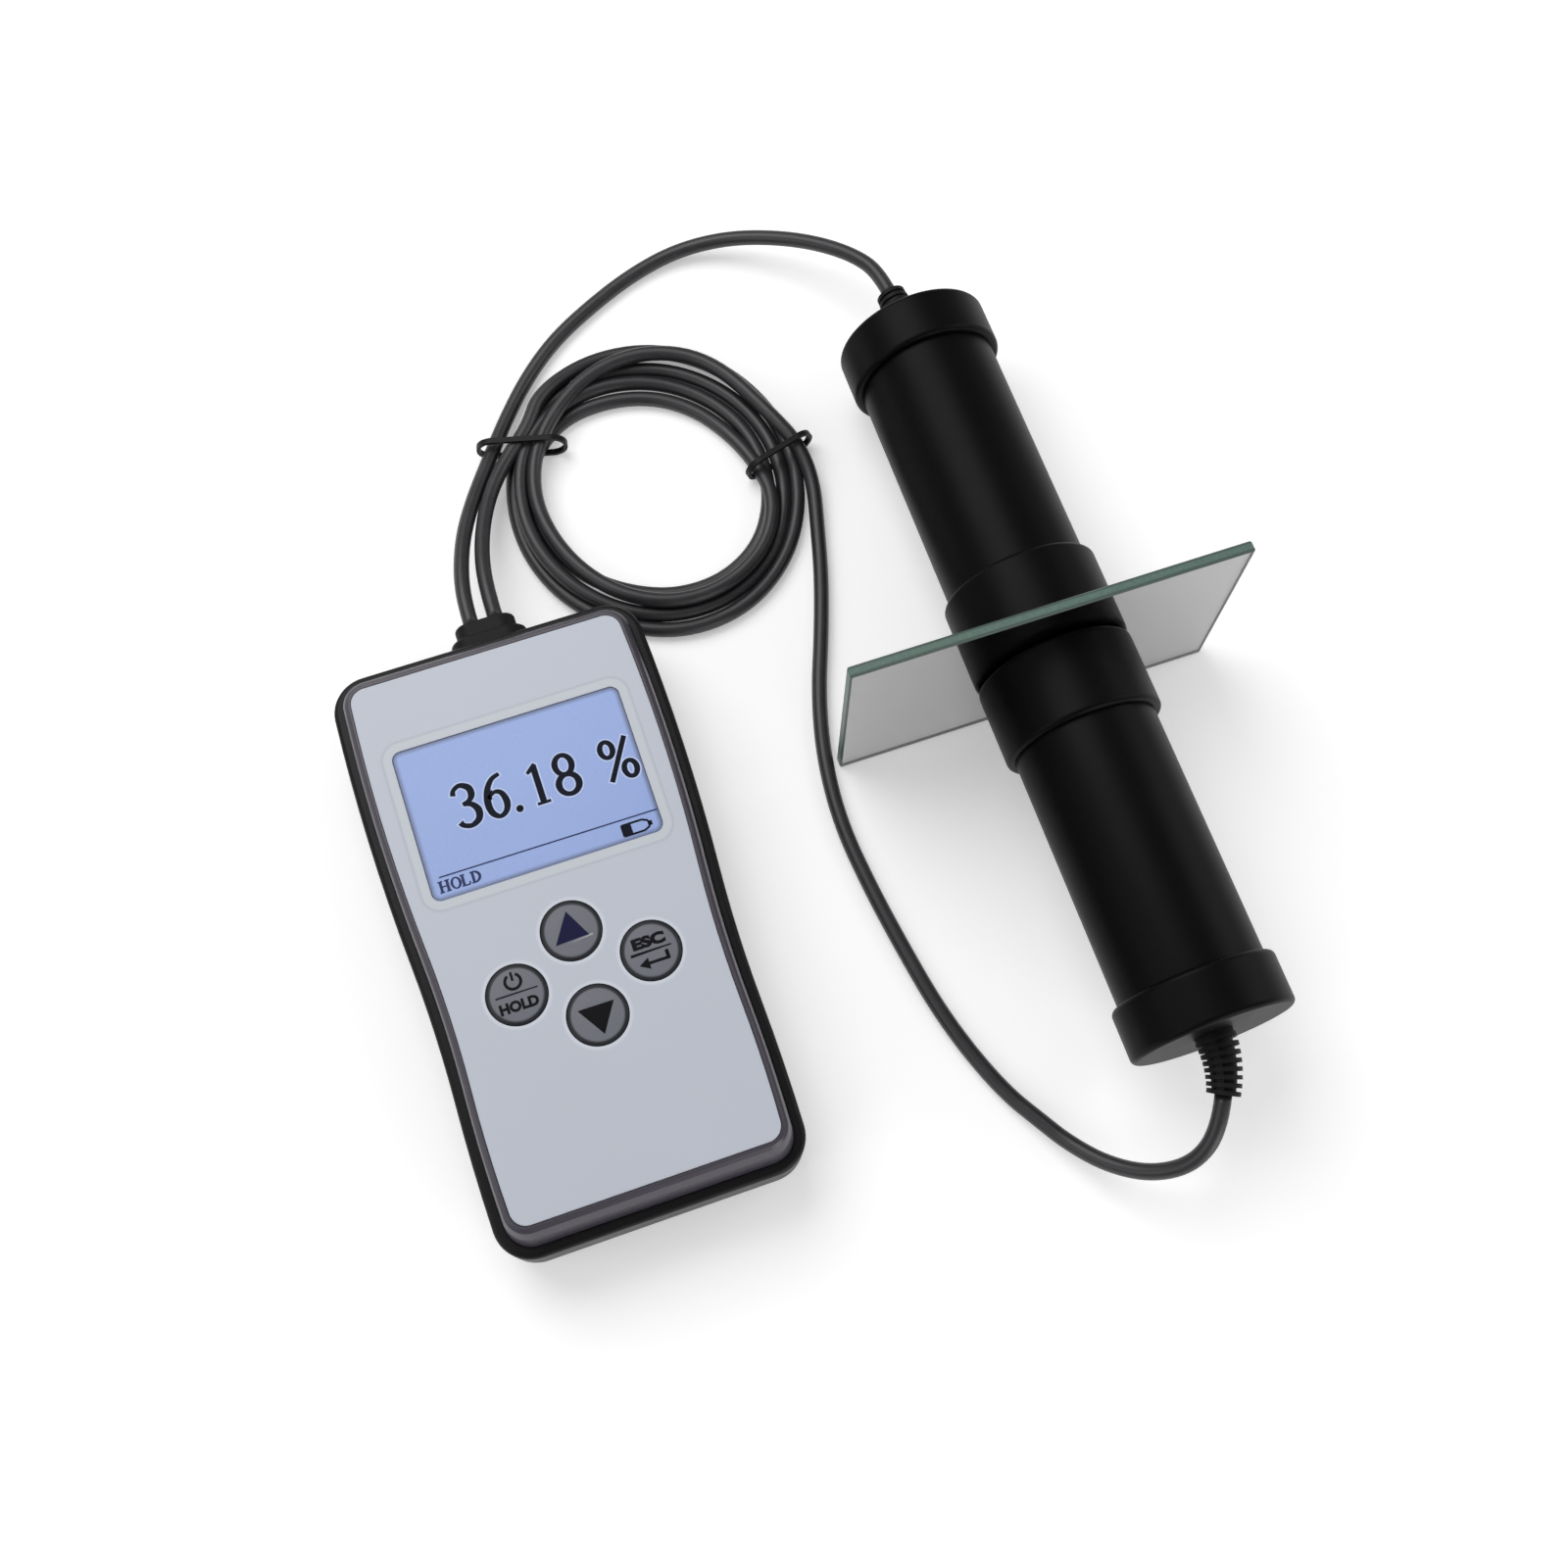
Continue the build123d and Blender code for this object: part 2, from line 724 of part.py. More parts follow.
def board_screws():
    shank = roof_bottom_z - board_screw_tip_gap - board_bottom_z
    piece = screw(board_screw_head_radius, board_screw_head, board_screw_radius, shank)
    return group([Pos(x, y, board_bottom_z) * piece
                  for x, y in mirrored_spots(board_post_x, board_post_y)])


def cable_boot():
    """Double strain relief: stepped outside, a neck in the end wall and a flange inside it."""
    base = along_y(SlotOverall(boot_base_width, boot_base_height), boot_x, boot_z,
                   case_end_y, case_end_y + boot_base_length)
    base = fillet(base.edges().group_by(Axis.Y)[-1], boot_round)
    tip = along_y(SlotOverall(boot_tip_width, boot_tip_height), boot_x, boot_z,
                  case_end_y + boot_base_length - boot_round, boot_tip_y)
    tip = fillet(tip.edges().group_by(Axis.Y)[-1], boot_round)
    neck = along_y(SlotOverall(boot_neck_width, boot_neck_height), boot_x, boot_z,
                   boot_inner_y - boot_gap, case_end_y)
    flange = along_y(SlotOverall(boot_flange_width, boot_flange_height), boot_x, boot_z,
                     boot_inner_y - boot_gap - boot_flange_length, boot_inner_y - boot_gap)
    return base + tip + neck + flange


def boot_cord_spots():
    return [boot_x - boot_cord_pitch / 2, boot_x + boot_cord_pitch / 2]


def cord_sockets():
    """Two plug sockets under the board that take the cords."""
    end_y = board_length / 2
    return group([block(x - socket_width / 2, x + socket_width / 2, end_y - socket_length, end_y,
                        board_bottom_z - socket_height, board_bottom_z) for x in boot_cord_spots()])


def inner_leads():
    """Cord ends inside the case, from the boot to the sockets."""
    start = boot_inner_y - boot_gap - boot_flange_length
    return group([bar(x, boot_z, board_length / 2, start, lead_radius) for x in boot_cord_spots()])


# Places along a probe, from the middle of the sample
ring_back = ring_front + ring_length
wall_back = ring_front + ring_face
cap_start = probe_end - cap_length
cap_inside = probe_end - cap_wall
bore_radius = tube_radius + probe_fit
inner_radius = tube_radius - tube_wall
holder_radius = inner_radius - probe_fit
holder_start = wall_back + probe_fit


def magnet_spots():
    return [(magnet_ring_radius * math.cos(math.tau * i / magnet_count),
             magnet_ring_radius * math.sin(math.tau * i / magnet_count)) for i in range(magnet_count)]


def front_ring():
    """Ring that meets the sample: window seat, aperture, magnet pockets and the tube's socket."""
    seat = ring_front + window_recess + window_thickness
    ring = turned([
        (aperture_radius, seat), (window_radius + probe_fit, seat), (window_radius + probe_fit, ring_front),
        (probe_radius, ring_front), (probe_radius, ring_back), (bore_radius, ring_back),
        (bore_radius, wall_back), (aperture_radius, wall_back),
    ])
    rims = [edge for edge in ring.edges().filter_by(GeomType.CIRCLE)
            if abs(edge.radius - probe_radius) < probe_fit]
    ring = fillet(rims, probe_edge_round)
    for x, z in magnet_spots():
        ring -= bar(x, z, wall_back - magnet_length, wall_back + 1, magnet_radius + probe_fit)
    return ring


def magnets():
    return group([bar(x, z, wall_back - magnet_length, wall_back, magnet_radius)
                  for x, z in magnet_spots()])


def tube():
    """Barrel between the ring and the cap, seated in both."""
    y0 = wall_back + probe_fit
    y1 = cap_inside - probe_fit
    return turned([(inner_radius, y0), (tube_radius, y0), (tube_radius, y1), (inner_radius, y1)])


def end_cap():
    """Cap with the tube's socket and the strain relief's hole."""
    hole = relief_neck_radius + probe_fit
    cap = turned([
        (hole, cap_inside), (bore_radius, cap_inside), (bore_radius, cap_start), (probe_radius, cap_start),
        (probe_radius, probe_end), (hole, probe_end),
    ])
    rims = [edge for edge in cap.edges().filter_by(GeomType.CIRCLE)
            if abs(edge.radius - probe_radius) < probe_fit]
    return fillet(rims, probe_edge_round)


def window():
    y0 = ring_front + window_recess
    return bar(0, 0, y0, y0 + window_thickness, window_radius)


def strain_relief(bend):
    """Ribbed relief: flange and neck in the cap, then ribs on a tapering core along a bend."""
    flange = bar(0, 0, cap_inside - relief_flange, cap_inside, relief_flange_radius)
    neck = bar(0, 0, cap_inside, probe_end, relief_neck_radius)
    pitch = relief_length / relief_ribs
    rib = pitch * relief_rib_share

    def radius_at(distance):
        return relief_base_radius + (relief_tip_radius - relief_base_radius) * distance / relief_length

    stations = [0, relief_length / 2, relief_length - rib / 2]
    core = loft([relief_station(d, bend) * Circle(radius_at(d) - relief_groove) for d in stations])
    relief = flange + neck + core
    for i in range(relief_ribs):
        start = i * pitch
        rib_radius = radius_at(start + pitch - rib)
        relief += relief_station(start + pitch, bend) * extrude(Circle(rib_radius), -rib)
        relief += relief_station(start, bend) * Pos(0, 0, (pitch - rib) / 2) * Box(
            relief_web, 2 * rib_radius - relief_groove, pitch - rib)
    collar = relief_neck_radius + relief_groove
    return relief + bar(0, 0, probe_end, probe_end + relief_groove, collar)


def far_filter():
    """Correction filter in the aperture behind the window."""
    y0 = ring_front + window_recess + window_thickness
    return bar(0, 0, y0, y0 + filter_thickness, aperture_radius - probe_fit)


def holder(bore_points, length):
    """A turned block inside the tube, bored through along the beam."""
    end = holder_start + length
    return turned([(bore_points[0][0], holder_start), (holder_radius, holder_start), (holder_radius, end),
                   *[(r, y) for r, y in reversed(bore_points)]])


def holder_screw_spots():
    return [(disc_screw_ring, 0), (-disc_screw_ring, 0)]


def drilled(body, end):
    """Two blind holes for the board's screws."""
    for x, z in holder_screw_spots():
        body -= bar(x, z, end - disc_screw_depth, end + 1, disc_screw_radius + fit_gap)
    return body


sensor_end = holder_start + sensor_holder_length
lamp_end = holder_start + lamp_holder_length
lens_back = holder_start + lens_seat + lens_edge


def sensor_holder():
    body = holder([(sensor_bore, holder_start), (sensor_bore, sensor_end)], sensor_holder_length)
    return drilled(body, sensor_end)


def lamp_holder():
    """Holder with a seat for the lens and a cone from it to the lamp."""
    body = holder([(lens_radius + fit_gap, holder_start), (lens_radius + fit_gap, lens_back),
                   (lens_radius - lens_seat, lens_back), (lamp_throat, lamp_end - lamp_height - 1),
                   (lamp_throat, lamp_end)], lamp_holder_length)
    return drilled(body, lamp_end)


def disc_board(end):
    """Round board behind a holder."""
    body = bar(0, 0, end, end + disc_board_thickness, holder_radius)
    for x, z in holder_screw_spots():
        body -= bar(x, z, end - 1, end + disc_board_thickness + 1, disc_screw_radius + fit_gap)
    return body


def disc_screws(end):
    seat = end + disc_board_thickness
    piece = turned([(0, seat + disc_screw_head), (disc_screw_head_radius, seat + disc_screw_head),
                    (disc_screw_head_radius, seat), (disc_screw_radius, seat),
                    (disc_screw_radius, end - disc_screw_depth + 0.5), (0, end - disc_screw_depth + 0.5)])
    return group([Pos(x, 0, z) * piece for x, z in holder_screw_spots()])


def light_sensor():
    """Photodiode can on the receiver's board."""
    return turned([(0, sensor_end - sensor_height), (sensor_radius - 0.4, sensor_end - sensor_height),
                   (sensor_radius - 0.4, sensor_end - 0.8), (sensor_radius, sensor_end - 0.8),
                   (sensor_radius, sensor_end), (0, sensor_end)])


def lamp():
    """Light-emitting diode with a domed top."""
    dome_y = lamp_end - lamp_height + lamp_radius
    straight = bar(0, 0, dome_y, lamp_end, lamp_radius)
    return straight + Pos(0, dome_y, 0) * Sphere(lamp_radius)


def beam_lens():
    """Plano-convex lens, flat side on its seat."""
    crown_radius = (lens_radius ** 2 + lens_crown ** 2) / (2 * lens_crown)
    flat_y = lens_back
    edge_y = flat_y - lens_edge
    body = bar(0, 0, edge_y - lens_crown, flat_y, lens_radius)
    return body & (Pos(0, edge_y - lens_crown + crown_radius, 0) * Sphere(crown_radius))


def probe_lead(end):
    """Cord end inside the tube, from the strain relief to the board's back."""
    return bar(0, 0, end + disc_board_thickness, cap_inside - relief_flange, lead_radius)


def glass_plate():
    """Sample plate between the two rings."""
    plate = Pos(glass_offset_x, 0, glass_offset_z) * Box(glass_width, glass_thickness, glass_height)
    return chamfer(plate.edges(), glass_chamfer)


def cord_tube(name, route):
    """A tube of straight runs and tangent arcs, each arc as large as its two runs allow."""
    points = [Vector(*point) for point in route]
    radii = []
    for before, corner, after in zip(points, points[1:], points[2:]):
        turn = (corner - before).get_angle(after - corner)
        shorter = min((corner - before).length, (after - corner).length)
        radii.append(0.45 * shorter / math.tan(math.radians(turn) / 2))
    path = FilletPolyline(*points, radius=radii)
    start = Plane(origin=path @ 0, z_dir=path % 0)
    body = sweep(start * Circle(cord_diameter / 2), path=path)
    section = math.pi * cord_diameter ** 2 / 4
    print(name, "length", round(path.length, 1), "volume over section", round(body.volume / section, 1),
          "smallest radius", round(min(radii), 1), "radii", [round(r) for r in radii])
    return body


def cord_coil():
    """Outer shape of the tied coil of cord."""
    outer = Pos(coil_x, coil_y) * Ellipse(coil_outer_x, coil_outer_y)
    hole = Pos(coil_hole_x, coil_hole_y) * Rot(0, 0, coil_hole_turn) * Ellipse(coil_hole_long,
                                                                              coil_hole_short)
    ring = extrude(outer - hole, coil_height)
    rims = [edge for edge in ring.edges() if edge.bounding_box().size.Z < fit_gap]
    return fillet(rims, coil_round)


def cord_tie(x, y, turn, width):
    """Flat band round the strands."""
    height = coil_height + tie_thickness
    outer = RectangleRounded(width + 2 * tie_thickness, height, height / 2 - 0.1)
    inner_height = height - 2 * tie_thickness
    inner = RectangleRounded(width, inner_height, inner_height / 2 - 0.1)
    band = extrude(outer - inner, tie_length / 2, both=True)
    return Pos(x, y, height / 2) * Rot(0, 0, turn) * Rot(90, 0, 0) * band


def far_probe(body):
    return probe_place * body


def near_probe(body):
    return probe_place * Rot(0, 0, 180) * body


cords = {
    "far_cord": cord_tube("far_cord", far_route),
    "near_cord_lead": cord_tube("near_cord_lead", lead_route),
    "near_cord_run": cord_tube("near_cord_run", run_route),
    "near_cord_end": cord_tube("near_cord_end", end_route),
}
ties = {
    "left_tie": cord_tie(left_tie_x, left_tie_y, left_tie_turn, left_tie_width),
    "right_tie": cord_tie(right_tie_x, right_tie_y, right_tie_turn, right_tie_width),
}
coil = cord_coil()
for tube_or_tie in (cords["near_cord_lead"], cords["near_cord_run"], *ties.values()):
    coil -= tube_or_tie
coil = coil.solids().sort_by(SortBy.VOLUME)[-1]
parts = {
    "bottom_case": bottom_case(),
    "top_case": top_case(),
    "front_panel": front_panel(),
    "lcd_window": lcd_window(),
    "lcd_glass": lcd_glass(),
    "lcd_frame": lcd_frame(),
    "backlight": backlight(),
    "main_board": main_board(),
    "board_chips": board_chips(),
    "key_mat": key_mat(),
    "battery_door": battery_door(),
    "batteries": batteries(),
    "battery_contacts": battery_contacts(),
    "case_screws": case_screws(),
    "board_screws": board_screws(),
    "cable_boot": cable_boot(),
    "cord_sockets": cord_sockets(),
    "inner_leads": inner_leads(),
    "glass_plate": probe_place * glass_plate(),
    "far_front_ring": far_probe(front_ring()),
    "far_magnets": far_probe(magnets()),
    "far_tube": far_probe(tube()),
    "far_end_cap": far_probe(end_cap()),
    "far_window": far_probe(window()),
    "far_filter": far_probe(far_filter()),
    "sensor_holder": far_probe(sensor_holder()),
    "light_sensor": far_probe(light_sensor()),
    "sensor_board": far_probe(disc_board(sensor_end)),
    "sensor_board_screws": far_probe(disc_screws(sensor_end)),
    "far_inner_lead": far_probe(probe_lead(sensor_end)),
    "far_strain_relief": far_probe(strain_relief(far_relief_bend)),
    "near_front_ring": near_probe(front_ring()),
    "near_magnets": near_probe(magnets()),
    "near_tube": near_probe(tube()),
    "near_end_cap": near_probe(end_cap()),
    "near_window": near_probe(window()),
    "beam_lens": near_probe(beam_lens()),
    "lamp_holder": near_probe(lamp_holder()),
    "lamp": near_probe(lamp()),
    "lamp_board": near_probe(disc_board(lamp_end)),
    "lamp_board_screws": near_probe(disc_screws(lamp_end)),
    "near_inner_lead": near_probe(probe_lead(lamp_end)),
    "near_strain_relief": near_relief_place * strain_relief(near_relief_bend),
    "cord_coil": coil,
    **cords,
    **ties,
}
for name, (x, y) in key_spots.items():
    parts[name] = Pos(x, y, 0) * key()

os.makedirs("parts", exist_ok=True)
for name, body in parts.items():
    export_step(body, f"parts/{name}.step")
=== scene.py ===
"""A hand-held light transmission meter, its two probes, the glass sample between them and the coiled cord."""

import bpy
import bmesh
import math
from mathutils import Matrix, Vector


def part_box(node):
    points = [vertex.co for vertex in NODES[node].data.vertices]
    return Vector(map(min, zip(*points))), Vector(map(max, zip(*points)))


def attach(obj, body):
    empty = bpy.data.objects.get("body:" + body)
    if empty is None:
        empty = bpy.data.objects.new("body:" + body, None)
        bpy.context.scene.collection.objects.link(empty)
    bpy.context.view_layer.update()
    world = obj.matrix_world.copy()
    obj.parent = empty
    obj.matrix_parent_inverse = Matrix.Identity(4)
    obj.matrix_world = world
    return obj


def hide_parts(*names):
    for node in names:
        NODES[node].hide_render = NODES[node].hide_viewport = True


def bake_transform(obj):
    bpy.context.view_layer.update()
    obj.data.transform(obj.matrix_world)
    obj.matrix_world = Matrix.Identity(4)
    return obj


bl_info = {
    "name": "Light transmission meter",
    "version": (1, 0, 0),
    "blender": (4, 5, 0),
    "location": "3D View > Sidebar > Meter",
    "description": "Dresses the packed meter with its finishes, cords, display and keys",
    "category": "Add Mesh",
}

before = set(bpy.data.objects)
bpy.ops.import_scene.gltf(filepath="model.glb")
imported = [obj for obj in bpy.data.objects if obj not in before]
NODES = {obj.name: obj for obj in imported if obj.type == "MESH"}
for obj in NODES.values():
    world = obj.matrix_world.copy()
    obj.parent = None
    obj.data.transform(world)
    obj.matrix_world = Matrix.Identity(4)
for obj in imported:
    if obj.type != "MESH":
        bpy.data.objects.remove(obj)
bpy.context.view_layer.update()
MM = 0.001
HALF_TURN = math.pi

# Places that the parts share, in millimetres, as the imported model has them
PANEL_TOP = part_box("front_panel")[1].z / MM
WINDOW_LOW, WINDOW_HIGH = [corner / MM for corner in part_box("lcd_window")]
SCREEN_CENTRE = (0.0, 25.45)
SCREEN_HALF = (24.5, 16.75)
SCREEN_TOP = PANEL_TOP - 0.3
KEYS = {
    "power_key": (-14.0, -14.5),
    "up_key": (0.0, -5.5),
    "down_key": (0.0, -23.5),
    "enter_key": (14.0, -14.5),
}
KEY_RADIUS = 6.15
KEY_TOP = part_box("power_key")[1].z / MM
KEY_CROWN = 0.2
PROBE_TILT = math.atan((21.5 - 17.5) / (86.85 - 1.25))
SAMPLE_HALF = (44.0, 25.0)
SAMPLE_RIM = 0.36
SAME_POINT = 0.05

# Height of a capital letter as a share of the font's size
CAPITAL_SHARE = 0.72

# The camera that the photograph fits: focal length and width in pixels, turns in radians, place in millimetres
PHOTO_FOCAL = 1825.75
PHOTO_WIDTH = 1600
SENSOR_WIDTH = 36.0
CAMERA_TURNS = (-0.285, -0.125, -0.311)
CAMERA_PLACE = (4.53, -93.22, 380.24)

# Lamps: name, place, the point it looks at, width in metres, power in watts
LAMPS = (
    ("top_softbox", (-0.12, 0.42, 0.62), (0.05, 0.05, 0.0), 0.62, 2.9),
    ("left_softbox", (-0.62, -0.12, 0.5), (0.05, 0.02, 0.0), 0.6, 1.1),
    ("right_softbox", (0.75, 0.05, 0.4), (0.08, 0.02, 0.0), 0.5, 1.1),
    ("front_softbox", (0.32, -0.72, 0.2), (0.03, -0.04, 0.01), 0.5, 1.7),
)

# Route points of the cords, in millimetres
FAR_ROUTE = (
    (-0.75, 70.5, 13.5), (-0.75, 76.5, 13.5), (0.6, 85, 12), (3.6, 94.6, 9.6), (8.4, 104, 7),
    (14.4, 113.4, 4.6), (20.6, 122.8, 2.6), (28.6, 132.6, 1.8), (38, 140.8, 1.8), (49, 147, 1.8),
    (61, 152.4, 1.8), (73.4, 155.2, 2.6), (85.6, 153.2, 5.2), (96.2, 147.6, 8.6), (104.8, 140.6, 12),
    (111.2, 132.8, 15), (114.59, 125.71, 16.6), (115.08, 118.73, 16.92),
)
LEAD_ROUTE = (
    (4.75, 70.5, 13.5), (4.75, 76.5, 13.5), (5.6, 85.4, 11.8), (8.2, 95.2, 9.2), (12.6, 104.6, 7),
    (18.4, 112, 5.6), (25.6, 118.6, 5.3),
)
RUN_ROUTE = (
    (80.6, 104, 5.4), (84.4, 95, 4.4), (84.9, 85.6, 2.6), (82, 74.4, 1.8), (78.6, 62, 1.8),
    (73.8, 48.6, 1.8), (68.4, 35.2, 1.8), (64.5, 20.6, 1.8), (62.9, 5, 1.8), (64.2, -11, 1.8),
    (66.4, -26.6, 1.8), (68.8, -40.4, 1.8), (72.2, -52.2, 1.8), (76.4, -62.6, 1.8), (80.4, -69.4, 2.8),
    (84.4, -76.2, 3.8), (89.8, -83.2, 7.6), (96.6, -88, 12.8), (104, -88.8, 18.2),
    (109.81, -84.41, 23.13), (112.84, -78.27, 24.59),
)

# The coil: where each pass lies between the inner edge (0) and the outer edge (1), and its height, by
# direction in degrees from the coil's middle
COIL_MIDDLE = (48.5, 95.3)
COIL_OUTER = (49.6, 96.1, 34.3, 38.2, 0.0)
COIL_INNER = (47.6, 94.6, 25.4, 22.0, -51.5)
COIL_PASSES = (
    ((120, 1.0, 4.7), (105, 1.0, 2.8), (84, 1.0, 1.8), (60, 1.0, 1.8), (15, 1.0, 1.8), (-30, 1.0, 1.8),
     (-75, 1.02, 1.8), (-120, 1.0, 1.8), (-165, 1.12, 1.8)),
    ((150, 1.05, 1.8), (105, 0.66, 1.8), (60, 0.62, 1.8), (15, 0.67, 1.8), (-30, 0.62, 1.8),
     (-52, 0.62, 1.8), (-75, 0.58, 1.8), (-97, 0.6, 2.0), (-120, 0.66, 3.0), (-165, 0.82, 4.9)),
    ((150, 0.7, 4.9), (128, 0.5, 4.2), (105, 0.34, 3.4), (60, 0.34, 1.8), (15, 0.34, 1.8), (-30, 0.16, 1.8),
     (-75, 0.04, 1.8), (-120, 0.05, 1.8), (-165, 0.25, 1.8)),
    ((150, 0.37, 1.8), (128, 0.22, 1.8), (105, 0.03, 1.8), (60, 0.05, 1.8), (15, 0.0, 1.8), (-8, 0.06, 3.6),
     (-30, 0.38, 5.0), (-75, 0.36, 5.0), (-97, 0.37, 5.0), (-120, 0.32, 5.1), (-165, 0.12, 5.3)),
    ((150, 0.1, 5.3), (120, 0.34, 5.3), (90, 0.72, 5.3), (60, 0.92, 5.0), (32, 0.92, 5.3)),
)


def math_node(operation, turned=False):
    """A method of Wire that adds one Math node; turned puts the other value first."""
    def method(wire, *others):
        values = (*others, wire) if turned else (wire, *others)
        return wire.owner.node("ShaderNodeMath", {"operation": operation}, dict(enumerate(values)))
    return method


class Wire:
    """One output in a node tree. An expression on values adds its Math nodes."""

    __add__ = math_node("ADD")
    __radd__ = math_node("ADD", turned=True)
    __sub__ = math_node("SUBTRACT")
    __rsub__ = math_node("SUBTRACT", turned=True)
    __mul__ = math_node("MULTIPLY")
    __rmul__ = math_node("MULTIPLY", turned=True)
    __truediv__ = math_node("DIVIDE")
    __pow__ = math_node("POWER")
    __abs__ = math_node("ABSOLUTE")
    larger = math_node("MAXIMUM")
    smaller = math_node("MINIMUM")
    root = math_node("SQRT")
    wave = math_node("SINE")

    def __init__(self, owner, socket):
        self.owner = owner
        self.socket = socket

    def limited(self):
        return self.larger(0.0).smaller(1.0)


class Tree:
    """A node tree that is built node by node."""

    def __init__(self, tree):
        self.tree = tree

    def node(self, kind, settings=None, inputs=None, output=0):
        made = self.tree.nodes.new(kind)
        for key, value in (settings or {}).items():
            setattr(made, key, value)
        for key, value in (inputs or {}).items():
            if isinstance(value, Wire):
                self.tree.links.new(value.socket, made.inputs[key])
            else:
                made.inputs[key].default_value = value
        return Wire(self, made.outputs[output])


class Paint(Tree):
    """A material and its node tree."""

    def __init__(self, name):
        self.material = bpy.data.materials.new(name)
        self.material.use_nodes = True
        super().__init__(self.material.node_tree)
        self.tree.nodes.clear()

    def place(self):
        return self.node("ShaderNodeTexCoord", output="Object")

    def axes(self):
        """The x, y and z of the place on the object, in millimetres."""
        vector = self.scaled(self.place(), (1 / MM, 1 / MM, 1 / MM))
        return [self.node("ShaderNodeSeparateXYZ", inputs={0: vector}, output=i) for i in range(3)]

    def scaled(self, vector, factors):
        return self.node("ShaderNodeVectorMath", {"operation": "MULTIPLY"}, {0: vector, 1: factors})

    def noise(self, scale, detail=3.0, roughness=0.5, vector=None):
        return self.node("ShaderNodeTexNoise", inputs={
            "Vector": vector or self.place(), "Scale": scale, "Detail": detail, "Roughness": roughness})

    def mix(self, factor, first, second):
        """From one colour to another as the factor goes from 0 to 1."""
        colours = {0: factor, 6: colour4(first), 7: colour4(second)}
        return self.node("ShaderNodeMix", {"data_type": "RGBA"}, colours, output=2)

    def bump(self, height, strength, distance, normal=None):
        inputs = {"Height": height, "Strength": strength, "Distance": distance}
        if normal:
            inputs["Normal"] = normal
        return self.node("ShaderNodeBump", inputs=inputs)

    def blend(self, factor, first, second):
        """From one shader to another."""
        return self.node("ShaderNodeMixShader", inputs={0: factor, 1: first, 2: second})

    def shader(self, **inputs):
        named = {key.replace("_", " "): value for key, value in inputs.items()}
        if not isinstance(named["Base Color"], Wire):
            named["Base Color"] = colour4(named["Base Color"])
        return self.node("ShaderNodeBsdfPrincipled", inputs=named)

    def finish(self, shader):
        self.tree.links.new(shader.socket, self.tree.nodes.new("ShaderNodeOutputMaterial").inputs["Surface"])
        return self.material


class Grower(Tree):
    """A Geometry Nodes tree with named inputs that grows a shape on the points of its object."""

    def __init__(self, name, inputs):
        super().__init__(bpy.data.node_groups.new(name, "GeometryNodeTree"))
        self.keys = {}
        self.tree.interface.new_socket("Shape", in_out="OUTPUT", socket_type="NodeSocketGeometry")
        for label, kind, value in (("Spots", "Geometry", None), *inputs, ("Finish", "Material", None)):
            socket = self.tree.interface.new_socket(label, in_out="INPUT", socket_type="NodeSocket" + kind)
            if value is not None:
                socket.default_value = value
            self.keys[label] = socket.identifier
        self.entry = self.tree.nodes.new("NodeGroupInput")

    def given(self, label):
        return Wire(self, self.entry.outputs[label])

    def moved(self, shape, offset=(0, 0, 0), turn=(0, 0, 0)):
        if any(isinstance(part, Wire) for part in offset):
            offset = self.node("ShaderNodeCombineXYZ", inputs=dict(enumerate(offset)))
        return self.node("GeometryNodeTransform", inputs={
            "Geometry": shape, "Translation": offset, "Rotation": turn})

    def box(self, across, along, high):
        return self.node("GeometryNodeMeshCube", inputs={
            "Size": self.node("ShaderNodeCombineXYZ", inputs={0: across, 1: along, 2: high})})

    def joined(self, *parts):
        made = self.tree.nodes.new("GeometryNodeJoinGeometry")
        for part in parts:
            self.tree.links.new(part.socket, made.inputs[0])
        return Wire(self, made.outputs[0])

    def cut(self, shape, *tools):
        """A shape with the tools taken out of it."""
        made = self.tree.nodes.new("GeometryNodeMeshBoolean")
        made.operation = "DIFFERENCE"
        self.tree.links.new(shape.socket, made.inputs["Mesh 1"])
        for tool in tools:
            self.tree.links.new(tool.socket, made.inputs["Mesh 2"])
        return Wire(self, made.outputs["Mesh"])

    def finish(self, shape):
        """Stands the shape on every spot, as real faces with their finish."""
        stood = self.node("GeometryNodeInstanceOnPoints", inputs={"Points": self.given("Spots"), "Instance": shape})
        real = self.node("GeometryNodeRealizeInstances", inputs={"Geometry": stood})
        done = self.node("GeometryNodeSetMaterial", inputs={"Geometry": real, "Material": self.given("Finish")})
        self.tree.links.new(done.socket, self.tree.nodes.new("NodeGroupOutput").inputs[0])


def colour4(value):
    return value if isinstance(value, Wire) else (*value[:3], 1.0)


def tone(red, green, blue):
    """A colour written as it looks, 0 to 255, made linear."""
    def linear(level):
        level /= 255
        return level / 12.92 if level <= 0.04045 else ((level + 0.055) / 1.055) ** 2.4
    return (linear(red), linear(green), linear(blue))


def shade(colour, factor):
    return tuple(min(1.0, part * factor) for part in colour)


def band(distance, middle, half_width, soft):
    """1 within half_width of the middle, fading over soft."""
    return ((half_width + soft - abs(distance - middle)) / soft).limited()


def past(distance, edge, soft):
    """0 before the edge, 1 once soft past it."""
    return ((distance - edge) / soft).limited()


def box_distance(x, y, centre, half, corner):
    """How far a point is outside a rectangle with round corners, in millimetres, less than 0 inside it."""
    across = abs(x - centre[0]) - (half[0] - corner)
    along = abs(y - centre[1]) - (half[1] - corner)
    outside = (across.larger(0.0) ** 2.0 + along.larger(0.0) ** 2.0).root()
    return outside + across.larger(along).smaller(0.0) - corner


def ring_distance(x, y, centre):
    return ((x - centre[0]) ** 2.0 + (y - centre[1]) ** 2.0).root()


# Finishes

